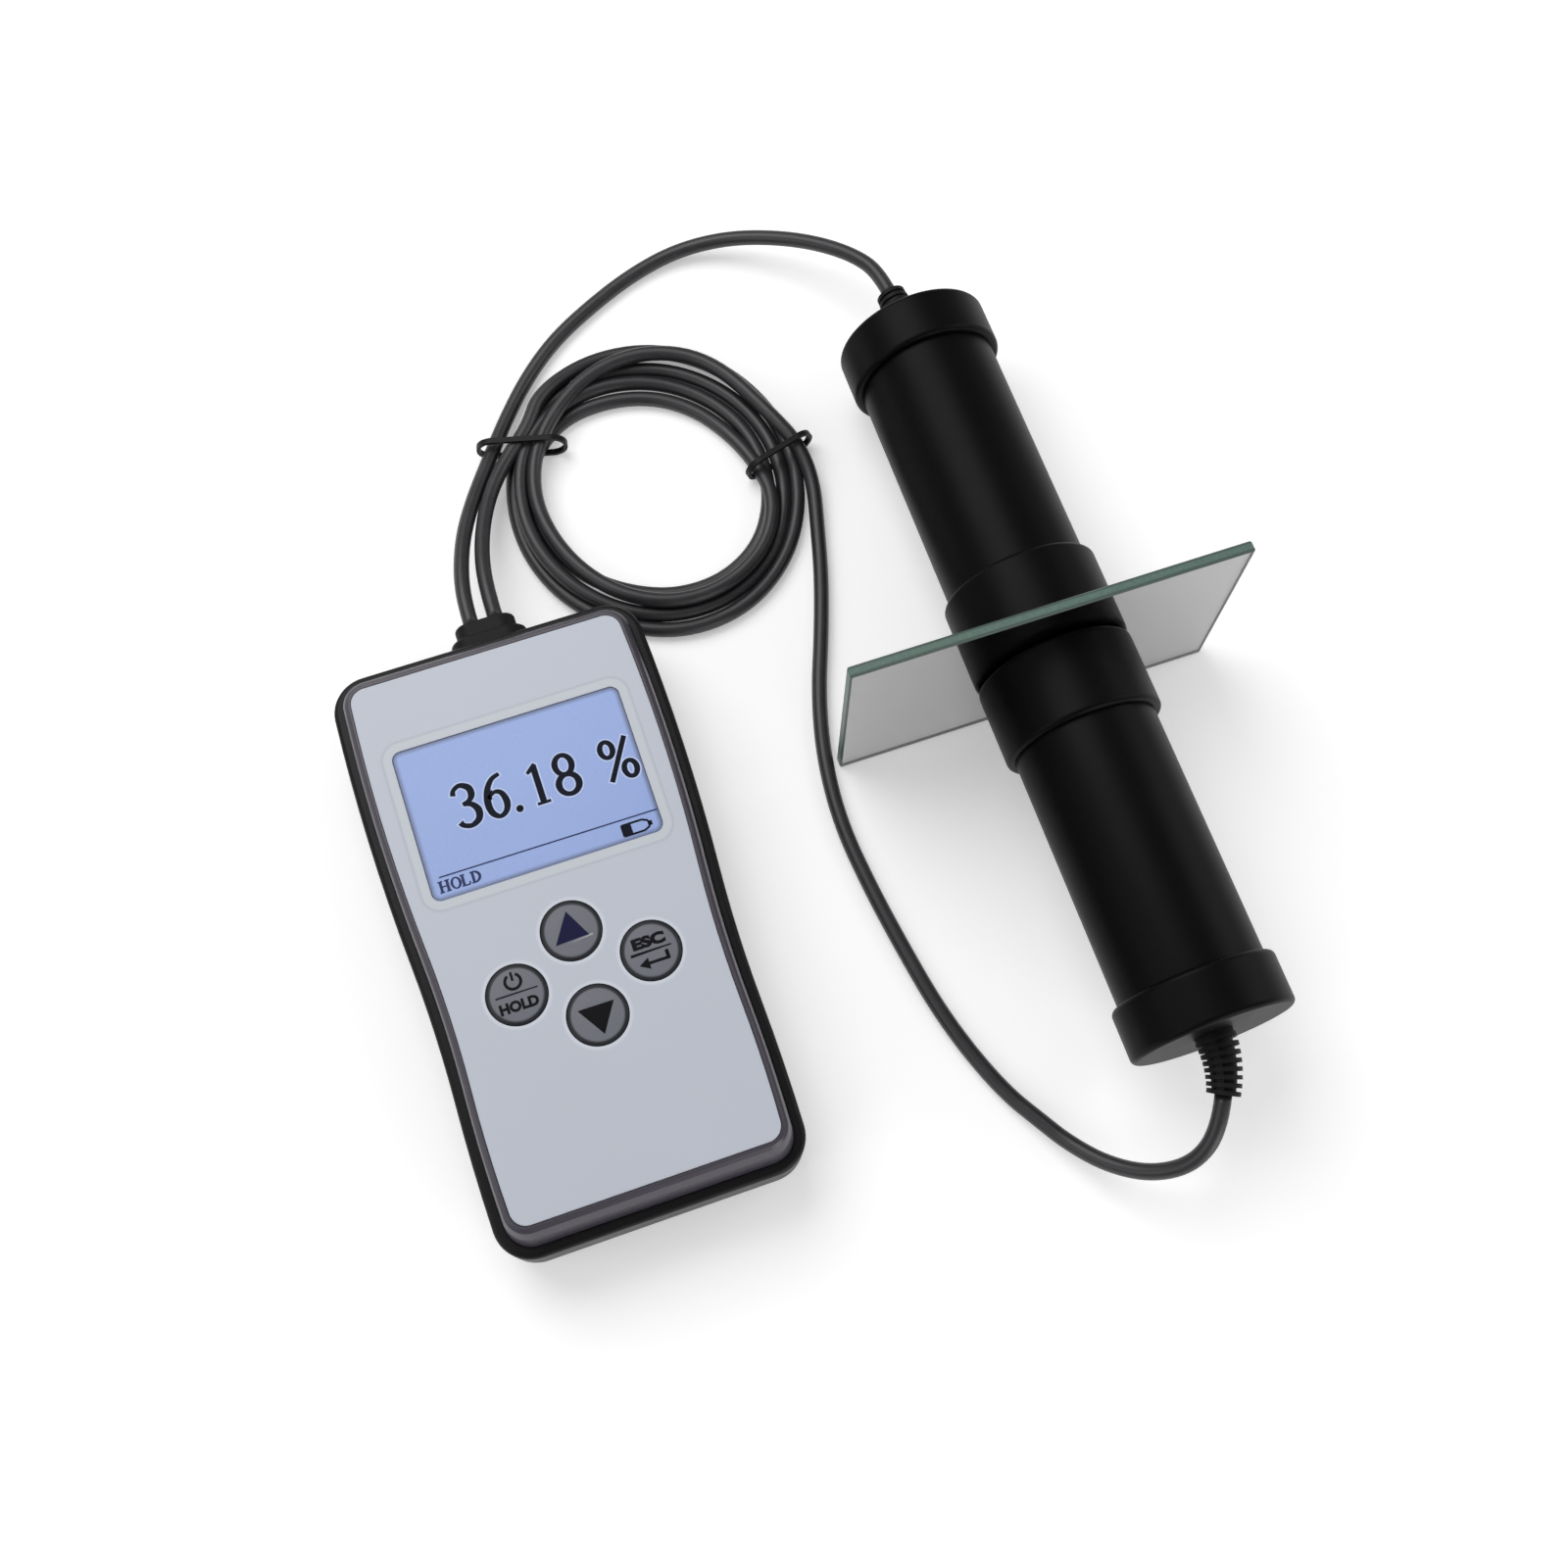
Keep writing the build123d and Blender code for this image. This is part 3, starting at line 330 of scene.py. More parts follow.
def moulded_plastic(name, colour, roughness=0.5, grain=0.25, sheen=0.35):
    """Moulded plastic with a fine spark-eroded grain, faint flow shading and slightly polished spots."""
    paint = Paint(name)
    fine = paint.noise(4200, 2.0, 0.6)
    broad = paint.noise(38, 4.0, 0.55)
    worn = paint.noise(160, 5.0, 0.6)
    rough = roughness + 0.1 * (broad - 0.5) - 0.08 * past(worn, 0.6, 0.12)
    colours = paint.mix(broad, shade(colour, 0.86), shade(colour, 1.16))
    return paint.finish(paint.shader(
        Base_Color=paint.mix(past(worn, 0.62, 0.1) * 0.3, colours, shade(colour, 1.5)),
        Roughness=rough, Specular_IOR_Level=sheen,
        Normal=paint.bump(fine, grain, 0.00006)))


def soft_rubber(name, colour, roughness=0.55, grain=0.2):
    """Soft black rubber, a little dusty in broad patches."""
    paint = Paint(name)
    dust = paint.noise(120, 6.0, 0.65)
    fine = paint.noise(2600, 3.0, 0.6)
    return paint.finish(paint.shader(
        Base_Color=paint.mix(past(dust, 0.5, 0.2) * 0.5, colour, shade(colour, 1.7)),
        Roughness=roughness + 0.12 * (dust - 0.5), Specular_IOR_Level=0.2,
        Normal=paint.bump(fine, grain, 0.00005)))


def cord_jacket(name, colour):
    """Smooth cord jacket with a soft sheen, faint extrusion waves and handling marks."""
    paint = Paint(name)
    marks = paint.noise(210, 5.0, 0.6)
    waves = paint.noise(900, 2.0, 0.5)
    return paint.finish(paint.shader(
        Base_Color=paint.mix(past(marks, 0.46, 0.3), colour, shade(colour, 1.45)),
        Roughness=0.34 + 0.16 * marks, Specular_IOR_Level=0.55, Coat_Weight=0.08, Coat_Roughness=0.3,
        Normal=paint.bump(waves, 0.12, 0.00008)))


def anodised(name, colour):
    """Black anodised aluminium, bead blasted, with faint turning lines round the axis."""
    paint = Paint(name)
    x, y, z = paint.axes()
    lines = paint.noise(1.0, 2.0, 0.7, paint.node("ShaderNodeCombineXYZ", inputs={
        0: 0.5, 1: y * 9.0, 2: 0.5}))
    blast = paint.noise(3000, 2.0, 0.6)
    patches = paint.noise(60, 4.0, 0.6)
    grip = paint.noise(330, 6.0, 0.7)
    colours = paint.mix(patches, shade(colour, 0.9), shade(colour, 1.15))
    colours = paint.mix(past(grip, 0.6, 0.1) * 0.35, colours, shade(colour, 1.7))
    bumped = paint.bump(lines, 0.1, 0.00004)
    return paint.finish(paint.shader(
        Base_Color=colours, Roughness=0.34 + 0.12 * patches + 0.04 * lines,
        Specular_IOR_Level=0.1, Normal=paint.bump(blast, 0.22, 0.00005, bumped)))


def bare_metal(name, colour, roughness=0.3, grain=1200):
    """Plated or brushed metal with fine scratches."""
    paint = Paint(name)
    scratch = paint.noise(grain, 4.0, 0.7, paint.scaled(paint.place(), (1.0, 0.08, 1.0)))
    cloud = paint.noise(200, 3.0, 0.5)
    return paint.finish(paint.shader(
        Base_Color=paint.mix(cloud, shade(colour, 0.85), shade(colour, 1.1)), Metallic=1.0,
        Roughness=roughness + 0.12 * scratch, Normal=paint.bump(scratch, 0.08, 0.00004)))


def panel_finish(name, colour):
    """The grey-blue satin panel, with a pale line round the display and round each key."""
    paint = Paint(name)
    x, y, z = paint.axes()
    beside = box_distance(x, y, SCREEN_CENTRE, SCREEN_HALF, 2.0)
    frame_line = band(beside, 1.0, 0.6, 0.35)
    frame_shade = band(beside, 2.1, 0.1, 0.3)
    halo = None
    for centre in KEYS.values():
        ring = band(ring_distance(x, y, centre), KEY_RADIUS + 0.4, 0.2, 0.5)
        halo = ring if halo is None else halo.larger(ring)
    cloud = paint.noise(24, 4.0, 0.5)
    fine = paint.noise(3600, 2.0, 0.6)
    colours = paint.mix(cloud, shade(colour, 0.97), shade(colour, 1.03))
    colours = paint.mix(frame_line * 0.4, colours, tone(206, 213, 212))
    colours = paint.mix(frame_shade * 0.25, colours, tone(150, 158, 168))
    colours = paint.mix(halo * 0.5, colours, tone(224, 229, 238))
    return paint.finish(paint.shader(
        Base_Color=colours, Roughness=0.46 + 0.06 * cloud, Specular_IOR_Level=0.35,
        Normal=paint.bump(fine, 0.12, 0.00004)))


def screen_finish(name, colour, edge):
    """The lit blue display, a little darker along its edge, under a smooth clear cover."""
    paint = Paint(name)
    x, y, z = paint.axes()
    distance = box_distance(x, y, SCREEN_CENTRE, SCREEN_HALF, 2.0)
    dots_x = (x * 2.0 * HALF_TURN / 0.5).wave()
    dots_y = (y * 2.0 * HALF_TURN / 0.5).wave()
    grid = 0.5 + 0.25 * dots_x + 0.25 * dots_y
    glow = paint.noise(22, 2.0, 0.4)
    colours = paint.mix(glow, shade(colour, 0.95), shade(colour, 1.05))
    colours = paint.mix(grid * 0.06, colours, shade(colour, 0.8))
    colours = paint.mix(past(distance, -1.2, 0.9), colours, edge)
    smear = paint.noise(90, 5.0, 0.6)
    return paint.finish(paint.shader(
        Base_Color=colours, Roughness=0.2 + 0.14 * smear, Specular_IOR_Level=0.4,
        Emission_Color=colours, Emission_Strength=0.12))


def key_finish(name, centre, face, rim):
    """A key's satin face with its darker rim, and a painted shade that darkens the face towards the display."""
    paint = Paint(name)
    x, y, z = paint.axes()
    away = ring_distance(x, y, centre)
    rim_part = past(away, KEY_RADIUS - 1.0, 0.4)
    groove = band(away, KEY_RADIUS - 0.85, 0.1, 0.15)
    cloud = paint.noise(70, 4.0, 0.5)
    fine = paint.noise(3800, 2.0, 0.6)
    colours = paint.mix(cloud, shade(face, 0.93), shade(face, 1.07))
    # Painted shade: the face is mixed towards a darker copy of its colour on its side towards the display (+y)
    colours = paint.mix(past((y - centre[1]) / 12.0 + 0.5, 0.0, 1.0) * 0.3, colours, shade(face, 0.8))
    colours = paint.mix(rim_part, colours, rim)
    return paint.finish(paint.shader(
        Base_Color=colours, Roughness=0.42 + 0.1 * cloud, Specular_IOR_Level=0.4,
        Normal=paint.bump(fine - groove * 4.0, 0.15, 0.00005)))


def printed(name, colour, roughness=0.5):
    """Ink of a printed or displayed mark, very slightly uneven."""
    paint = Paint(name)
    ink = paint.noise(700, 4.0, 0.6)
    return paint.finish(paint.shader(
        Base_Color=paint.mix(ink, shade(colour, 0.85), shade(colour, 1.2)), Roughness=roughness + 0.1 * ink,
        Specular_IOR_Level=0.1))


def sample_finish(name, face, edge):
    """Tinted glass: neutral through its faces, green along its ground edges, the green painted darker towards the broad
    faces as painted shade.
    """
    paint = Paint(name)
    x, y, z = paint.axes()
    tilt_cos, tilt_sin = math.cos(PROBE_TILT), math.sin(PROBE_TILT)
    box = [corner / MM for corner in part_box("glass_plate")]
    middle = (box[0] + box[1]) / 2
    along = (y - middle.y) * tilt_sin + (z - middle.z) * tilt_cos
    rim = past(abs(x - middle.x), SAMPLE_HALF[0] - SAMPLE_RIM, 0.06).larger(
        past(abs(along), SAMPLE_HALF[1] - SAMPLE_RIM, 0.06))
    haze = paint.noise(45, 4.0, 0.5)
    ground = paint.noise(1100, 4.0, 0.65)
    # Painted shade: the green edge faces darken towards the plate's two broad faces
    painted_border_shade = past(abs((y - middle.y) * tilt_cos - (z - middle.z) * tilt_sin), 0.45, 0.45)
    clear = paint.shader(
        Base_Color=paint.mix(haze, shade(face, 0.97), shade(face, 1.03)), Roughness=0.02 + 0.02 * haze,
        Transmission_Weight=1.0, IOR=1.5)
    greens = paint.mix(ground, shade(edge, 0.7), shade(edge, 1.5))
    green = paint.shader(
        Base_Color=paint.mix(painted_border_shade * 0.8, greens, shade(edge, 0.35)), Roughness=0.3 + 0.2 * ground,
        Specular_IOR_Level=0.5, Normal=paint.bump(ground, 0.2, 0.00003))
    return paint.finish(paint.blend(rim, clear, green))


def clear_finish(name, colour, roughness=0.03):
    """Clear window or lens."""
    paint = Paint(name)
    dust = paint.noise(400, 5.0, 0.6)
    return paint.finish(paint.shader(
        Base_Color=paint.mix(dust, colour, shade(colour, 0.93)), Roughness=roughness + 0.06 * dust,
        Transmission_Weight=1.0, IOR=1.46))


def board_finish(name, colour):
    """Green circuit board with copper tracks under its mask."""
    paint = Paint(name)
    x, y, z = paint.axes()
    bent = paint.noise(70, 2.0, 0.4)
    tracks = past(((x * 1.9 + 5.0 * bent).wave() * (y * 1.3 + 4.0 * bent).wave()), 0.55, 0.05)
    weave = paint.noise(1500, 3.0, 0.6)
    colours = paint.mix(weave, shade(colour, 0.9), shade(colour, 1.1))
    return paint.finish(paint.shader(
        Base_Color=paint.mix(tracks * 0.55, colours, tone(64, 138, 74)), Roughness=0.34 + 0.12 * weave,
        Specular_IOR_Level=0.5, Normal=paint.bump(tracks, 0.2, 0.00006)))


def battery_finish(name, jacket, end):
    """A cell's jacket with its lighter band, and bare metal at both ends."""
    paint = Paint(name)
    x, y, z = paint.axes()
    low, high = [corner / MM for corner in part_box("batteries")]
    length = high.y - low.y
    share = (y - low.y) / length
    ends = past(abs(share - 0.5), 0.475, 0.005)
    sleeve = band(share, 0.78, 0.09, 0.005)
    scuff = paint.noise(260, 5.0, 0.6)
    colours = paint.mix(sleeve, paint.mix(scuff, jacket, shade(jacket, 1.3)), tone(176, 120, 70))
    return paint.finish(paint.shader(
        Base_Color=paint.mix(ends, colours, end), Metallic=0.2 + 0.8 * ends, Roughness=0.24 + 0.2 * scuff))


def put_on(finish, *names):
    """Gives CAD nodes their finish."""
    for name in names:
        node = NODES[name]
        if not node.material_slots:
            node.data.materials.append(finish)
        for place in node.material_slots:
            place.material = finish


def settings():
    return bpy.context.scene.meter_settings


# Shapes

def mesh_piece(name, mesh, material, body):
    piece = bpy.data.objects.new(name, mesh)
    bpy.context.scene.collection.objects.link(piece)
    mesh.materials.clear()
    mesh.materials.append(material)
    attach(piece, body)
    return piece


def curve_mesh(name, curve):
    """The mesh that a curve or a text comes to."""
    holder = bpy.data.objects.new(name, curve)
    bpy.context.scene.collection.objects.link(holder)
    bpy.context.view_layer.update()
    mesh = bpy.data.meshes.new_from_object(holder.evaluated_get(bpy.context.evaluated_depsgraph_get()))
    bpy.data.objects.remove(holder)
    return mesh


def spline_points(name, route):
    """Points along the smooth line that has the route as its control points, in metres."""
    curve = bpy.data.curves.new(name, "CURVE")
    curve.dimensions = "3D"
    curve.resolution_u = 7
    line = curve.splines.new("NURBS")
    line.points.add(len(route) - 1)
    for point, place in zip(line.points, route):
        point.co = (*(Vector(place) * MM), 1.0)
    line.order_u = 3
    line.use_endpoint_u = True
    flat = curve_mesh(name, curve)
    points = [vertex.co.copy() for vertex in flat.vertices]
    bpy.data.meshes.remove(flat)
    kept = [points[0]]
    for point in points[1:]:
        if (point - kept[-1]).length > SAME_POINT * MM:
            kept.append(point)
    return kept


def tube_mesh(name, points, diameter, sides=14):
    """A round tube along the points, closed at both ends."""
    mesh = bpy.data.meshes.new(name)
    shape = bmesh.new()
    side = Vector((0, 0, 1))
    rings = []
    for index, point in enumerate(points):
        ahead = points[min(index + 1, len(points) - 1)] - points[max(index - 1, 0)]
        ahead.normalize()
        side = (side - ahead * side.dot(ahead)).normalized()
        across = ahead.cross(side)
        rings.append([shape.verts.new(point + diameter / 2 * (
            math.cos(2 * HALF_TURN * k / sides) * side + math.sin(2 * HALF_TURN * k / sides) * across))
            for k in range(sides)])
    for first, second in zip(rings, rings[1:]):
        for k in range(sides):
            shape.faces.new((first[k], first[(k + 1) % sides], second[(k + 1) % sides], second[k]))
    shape.faces.new(list(reversed(rings[0])))
    shape.faces.new(rings[-1])
    bmesh.ops.recalc_face_normals(shape, faces=shape.faces)
    for face in shape.faces:
        face.smooth = len(face.verts) == 4
    shape.to_mesh(mesh)
    shape.free()
    return mesh


def ray_to_edge(edge, direction):
    """How far the coil's edge is from its middle in a direction in degrees."""
    centre_x, centre_y, half_x, half_y, turn = edge
    turned = Matrix.Rotation(-math.radians(turn), 2)
    start = turned @ Vector((COIL_MIDDLE[0] - centre_x, COIL_MIDDLE[1] - centre_y))
    step = turned @ Vector((math.cos(math.radians(direction)), math.sin(math.radians(direction))))
    a = (step.x / half_x) ** 2 + (step.y / half_y) ** 2
    b = 2 * (start.x * step.x / half_x ** 2 + start.y * step.y / half_y ** 2)
    c = (start.x / half_x) ** 2 + (start.y / half_y) ** 2 - 1
    return (-b + math.sqrt(b * b - 4 * a * c)) / (2 * a)


def coil_route(diameter, step):
    """Control points of the coil's turns, clockwise from above, laid between its two edges."""
    stops = []
    for turn, stations in enumerate(COIL_PASSES):
        stops += [(direction - 360 * turn, share, height) for direction, share, height in stations]
    route = []
    direction = stops[0][0]
    widen = 1 / math.cos(math.radians(step / 2))
    while direction >= stops[-1][0]:
        for first, second in zip(stops, stops[1:]):
            if second[0] <= direction <= first[0]:
                part = (first[0] - direction) / (first[0] - second[0])
                share = first[1] + (second[1] - first[1]) * part
                height = first[2] + (second[2] - first[2]) * part
                break
        inner = ray_to_edge(COIL_INNER, direction) + diameter / 2
        outer = ray_to_edge(COIL_OUTER, direction) - diameter / 2
        reach = (inner + (outer - inner) * share) * widen
        angle = math.radians(direction)
        route.append((COIL_MIDDLE[0] + reach * math.cos(angle), COIL_MIDDLE[1] + reach * math.sin(angle), height))
        direction -= step
    return route


def smooth_line(points, pieces=8):
    """A rounded line through flat points."""
    if len(points) < 3:
        return [Vector(point) for point in points]
    ends = [points[0], *points, points[-1]]
    line = []
    for i in range(1, len(ends) - 2):
        a, b, c, d = (Vector(ends[i + k]) for k in (-1, 0, 1, 2))
        for k in range(pieces):
            t = k / pieces
            line.append(0.5 * (2 * b + (c - a) * t + (2 * a - 5 * b + 4 * c - d) * t * t
                               + (3 * b - a - 3 * c + d) * t ** 3))
    line.append(Vector(points[-1]))
    return line


def add_stroke(shape, points, widths, height, extra=0.0, closed=False, smooth=True):
    """A flat pen stroke along the points, as wide as the widths say."""
    line = smooth_line(points) if smooth else [Vector(point) for point in points]
    if closed:
        line = line[:-1]
    count = len(line)
    pairs = []
    for i, point in enumerate(line):
        before = line[(i - 1) % count] if closed or i else line[0]
        after = line[(i + 1) % count] if closed or i < count - 1 else line[-1]
        along = (after - before).normalized()
        share = i / max(1, count - 1) * (len(widths) - 1)
        low = min(int(share), len(widths) - 2) if len(widths) > 1 else 0
        width = widths[low]
        if len(widths) > 1:
            width += (widths[low + 1] - widths[low]) * (share - low)
        side = Vector((-along.y, along.x)) * (width / 2 + extra)
        start = point - along * extra if not closed and i == 0 else point
        start = start + along * extra if not closed and i == count - 1 else start
        pairs.append([shape.verts.new((*(start + side), height)), shape.verts.new((*(start - side), height))])
    runs = list(zip(pairs, pairs[1:] + pairs[:1])) if closed else list(zip(pairs, pairs[1:]))
    for first, second in runs:
        shape.faces.new((first[0], first[1], second[1], second[0]))


def add_patch(shape, points, height):
    """A flat filled outline."""
    corners = [shape.verts.new((point[0], point[1], height)) for point in points]
    shape.faces.new(corners)


def oval(centre, half_x, half_y, start=0.0, turn=360.0, count=24):
    return [(centre[0] + half_x * math.cos(math.radians(start + turn * k / count)),
             centre[1] + half_y * math.sin(math.radians(start + turn * k / count))) for k in range(count + 1)]


def turn_up(mesh):
    """Faces of a flat mark all look up."""
    shape = bmesh.new()
    shape.from_mesh(mesh)
    for face in shape.faces:
        face.normal_update()
        if face.normal.z < 0:
            face.normal_flip()
    shape.to_mesh(mesh)
    shape.free()


def flat_mesh(name, shape):
    mesh = bpy.data.meshes.new(name)
    shape.to_mesh(mesh)
    shape.free()
    turn_up(mesh)
    mesh.transform(Matrix.Scale(MM, 4))
    return mesh


def reading_strokes():
    """Strokes of the reading on the display, from its lower left corner, in millimetres: points, widths, closed."""
    strokes = []
    base, top = 13.3, 22.6
    tall = top - base

    def add(points, widths, closed=False):
        strokes.append((points, widths, closed))

    # three
    add([(9.8, base + 0.80 * tall), (10.2, base + 0.92 * tall), (11.7, top - 0.1), (13.3, base + 0.88 * tall),
         (13.5, base + 0.71 * tall), (12.7, base + 0.59 * tall), (11.3, base + 0.54 * tall)],
        [1.0, 0.8, 0.9, 1.3, 1.3, 0.9, 0.7])
    add([(11.4, base + 0.54 * tall), (13.0, base + 0.49 * tall), (14.0, base + 0.32 * tall),
         (13.6, base + 0.12 * tall), (11.9, base + 0.02 * tall), (10.3, base + 0.07 * tall), (9.8, base + 0.15 * tall)],
        [0.7, 1.0, 1.4, 1.25, 0.9, 0.9, 1.2])
    # six
    add([(20.0, base + 0.98 * tall), (18.2, base + 0.90 * tall), (16.8, base + 0.68 * tall),
         (16.2, base + 0.38 * tall), (16.6, base + 0.14 * tall), (18.0, base + 0.02 * tall),
         (19.5, base + 0.12 * tall), (20.0, base + 0.32 * tall), (19.4, base + 0.54 * tall),
         (18.1, base + 0.60 * tall), (16.6, base + 0.50 * tall)],
        [0.7, 0.9, 1.2, 1.35, 1.2, 0.8, 1.1, 1.3, 1.0, 0.7, 0.6])
    # decimal point
    add(oval((22.1, base + 0.5), 0.36, 0.36, count=12), [0.72, 0.72], True)
    # one
    add([(27.2, base + 0.1), (27.2, base + 0.92 * tall)], [1.2, 1.2])
    add([(25.9, base + 0.2), (28.6, base + 0.2)], [0.5, 0.5])
    add([(25.6, base + 0.78 * tall), (26.3, base + 0.83 * tall), (27.5, base + 0.95 * tall)], [0.5, 0.8, 0.6])
    # eight
    add(oval((33.2, base + 0.725 * tall), 1.75, 0.23 * tall), [1.2, 0.85, 1.2, 0.85, 1.2], True)
    add(oval((33.2, base + 0.26 * tall), 2.1, 0.235 * tall), [1.3, 0.95, 1.3, 0.85, 1.3], True)
    # per cent
    add(oval((42.6, base + 0.75 * tall), 1.3, 0.19 * tall), [1.1, 0.8, 1.1, 0.8, 1.1], True)
    add(oval((46.3, base + 0.18 * tall), 1.3, 0.19 * tall), [1.1, 0.8, 1.1, 0.8, 1.1], True)
    add([(47.0, base + 0.95 * tall), (41.8, base - 0.1)], [0.95, 0.95])
    return strokes


def small_word_strokes():
    """The word HOLD at the display's lower left, with serifs."""
    strokes = []
    low, high = 1.6, 4.1
    middle, half = (low + high) / 2, (high - low) / 2
    fat, thin = 0.58, 0.3

    def stem(x):
        strokes.append(([(x, low), (x, high)], [fat, fat], False))
        strokes.append(([(x - 0.5, low + 0.1), (x + 0.5, low + 0.1)], [thin, thin], False))
        strokes.append(([(x - 0.5, high - 0.1), (x + 0.5, high - 0.1)], [thin, thin], False))

    stem(2.3)
    stem(3.7)
    strokes.append(([(2.3, middle), (3.7, middle)], [thin, thin], False))
    strokes.append((oval((5.4, middle), 0.85, half - 0.1), [fat, thin, fat, thin, fat], True))
    stem(6.9)
    strokes.append(([(6.9, low + 0.12), (8.0, low + 0.12), (8.2, low + 0.7)], [thin, 0.35, thin], False))
    stem(9.0)
    strokes.append((oval((9.05, middle), 1.3, half - 0.1, -90, 180, 12), [thin, fat, fat, thin], False))
    return strokes


def small_mark_strokes():
    """The line above the display's lowest row, and the battery with its left end filled."""
    strokes = [([(2.4, 4.95), (48.7, 4.75)], [0.32, 0.32], False)]
    corners = [(40.6, 1.2), (45.0, 1.2), (46.2, 1.75), (46.2, 3.05), (45.0, 3.6), (40.6, 3.6), (40.6, 1.2)]
    for first, second in zip(corners, corners[1:]):
        strokes.append(([first, second], [0.45, 0.45], False))
    strokes.append(([(41.6, 1.2), (41.6, 3.6)], [1.9, 1.9], False))
    strokes.append(([(46.6, 1.9), (46.6, 2.9)], [0.6, 0.6], False))
    return strokes


def place_on_screen(shape_points):
    left, low = SCREEN_CENTRE[0] - SCREEN_HALF[0], SCREEN_CENTRE[1] - SCREEN_HALF[1]
    return [(left + x, low + y) for x, y in shape_points]


def strokes_mesh(name, strokes, height, extra=0.0):
    shape = bmesh.new()
    for number, (points, widths, closed) in enumerate(strokes):
        add_stroke(shape, place_on_screen(points), widths, height + 0.002 * (number % 5), extra, closed,
                   smooth=not closed and len(points) > 2)
    return flat_mesh(name, shape)


def crown_height(x, y, centre):
    """Height of a key's face: flat in the middle, then a slight cone to its rim."""
    away = math.hypot(x - centre[0], y - centre[1])
    fall = KEY_CROWN * (away - KEY_RADIUS / 2) / (KEY_RADIUS / 2 - 2 * KEY_CROWN)
    return KEY_TOP - max(0.0, fall) + 0.03


def lay_on_key(mesh, key):
    """Drops a flat mark onto the key's slightly crowned face."""
    shape = bmesh.new()
    shape.from_mesh(mesh)
    bmesh.ops.triangulate(shape, faces=shape.faces)
    for _ in range(4):
        long_edges = [edge for edge in shape.edges if edge.calc_length() > 0.7 * MM]
        if not long_edges:
            break
        bmesh.ops.subdivide_edges(shape, edges=long_edges, cuts=1)
        bmesh.ops.triangulate(shape, faces=shape.faces)
    for vertex in shape.verts:
        extra = vertex.co.z
        vertex.co.z = crown_height(vertex.co.x / MM, vertex.co.y / MM, KEYS[key]) * MM + extra
    shape.to_mesh(mesh)
    shape.free()
    turn_up(mesh)


def word_mesh(name, text, centre, tall, wide, heavy):
    """A word in plain letters, flat, as tall and wide as said, centred at a place in millimetres."""
    letters = bpy.data.curves.new(name, "FONT")
    letters.body = text
    letters.size = tall / CAPITAL_SHARE
    letters.offset = heavy
    letters.resolution_u = 4
    mesh = curve_mesh(name, letters)
    (left, right), (low, high) = [
        (min(spot), max(spot)) for spot in zip(*(vertex.co[:2] for vertex in mesh.vertices))]
    stretch = Matrix.Diagonal((wide / (right - left), tall / (high - low), 1, 1))
    mesh.transform(Matrix.Translation((*centre, 0)) @ stretch
                   @ Matrix.Translation((-(left + right) / 2, -(low + high) / 2, 0)))
    mesh.transform(Matrix.Scale(MM, 4))
    turn_up(mesh)
    return mesh


def screw_tree():
    """Screws that stand head down on their spots, with a cross recess and a thread."""
    tree = Grower("cross_recess_screws", (
        ("Head radius", "Float", 0.0024), ("Head height", "Float", 0.002), ("Shank radius", "Float", 0.00145),
        ("Shank length", "Float", 0.014), ("Thread pitch", "Float", 0.001), ("Recess share", "Float", 0.62)))
    head, tall = tree.given("Head radius"), tree.given("Head height")
    shank, long = tree.given("Shank radius"), tree.given("Shank length")
    body = tree.moved(tree.node("GeometryNodeMeshCone", inputs={
        "Vertices": 32, "Radius Top": head * 0.8, "Radius Bottom": head, "Depth": tall}), turn=(HALF_TURN, 0, 0))
    reach, slot, deep = head * tree.given("Recess share") * 2.0, head * 0.26, tall * 1.1
    bars = [tree.moved(tree.box(*size, deep), (0, 0, 0 - tall)) for size in ((reach, slot), (slot, reach))]
    core = tree.moved(tree.node("GeometryNodeMeshCylinder", inputs={
        "Vertices": 20, "Radius": shank * 0.84, "Depth": long}), (0, 0, long * 0.5))
    coil = tree.node("GeometryNodeCurveSpiral", inputs={
        "Resolution": 16, "Rotations": long / tree.given("Thread pitch") * 0.94, "Start Radius": shank * 0.84,
        "End Radius": shank * 0.84, "Height": long * 0.94})
    ridge = tree.node("GeometryNodeCurvePrimitiveCircle", inputs={"Resolution": 4, "Radius": shank * 0.15})
    thread = tree.moved(tree.node("GeometryNodeCurveToMesh", inputs={
        "Curve": coil, "Profile Curve": ridge, "Fill Caps": True}), (0, 0, long * 0.03))
    tree.finish(tree.joined(tree.cut(body, *bars), core, thread))
    return tree


def grown_mesh(name, tree, spots, values):
    """The plain mesh that a tree grows on spots in metres."""
    base = bpy.data.meshes.new(name)
    base.from_pydata(spots, [], [])
    holder = bpy.data.objects.new(name, base)
    bpy.context.scene.collection.objects.link(holder)
    growth = holder.modifiers.new("growth", "NODES")
    growth.node_group = tree.tree
    for label, value in values.items():
        growth[tree.keys[label]] = value
    bpy.context.view_layer.update()
    mesh = bpy.data.meshes.new_from_object(holder.evaluated_get(bpy.context.evaluated_depsgraph_get()))
    holder.modifiers.remove(growth)
    bpy.data.objects.remove(holder)
    return mesh


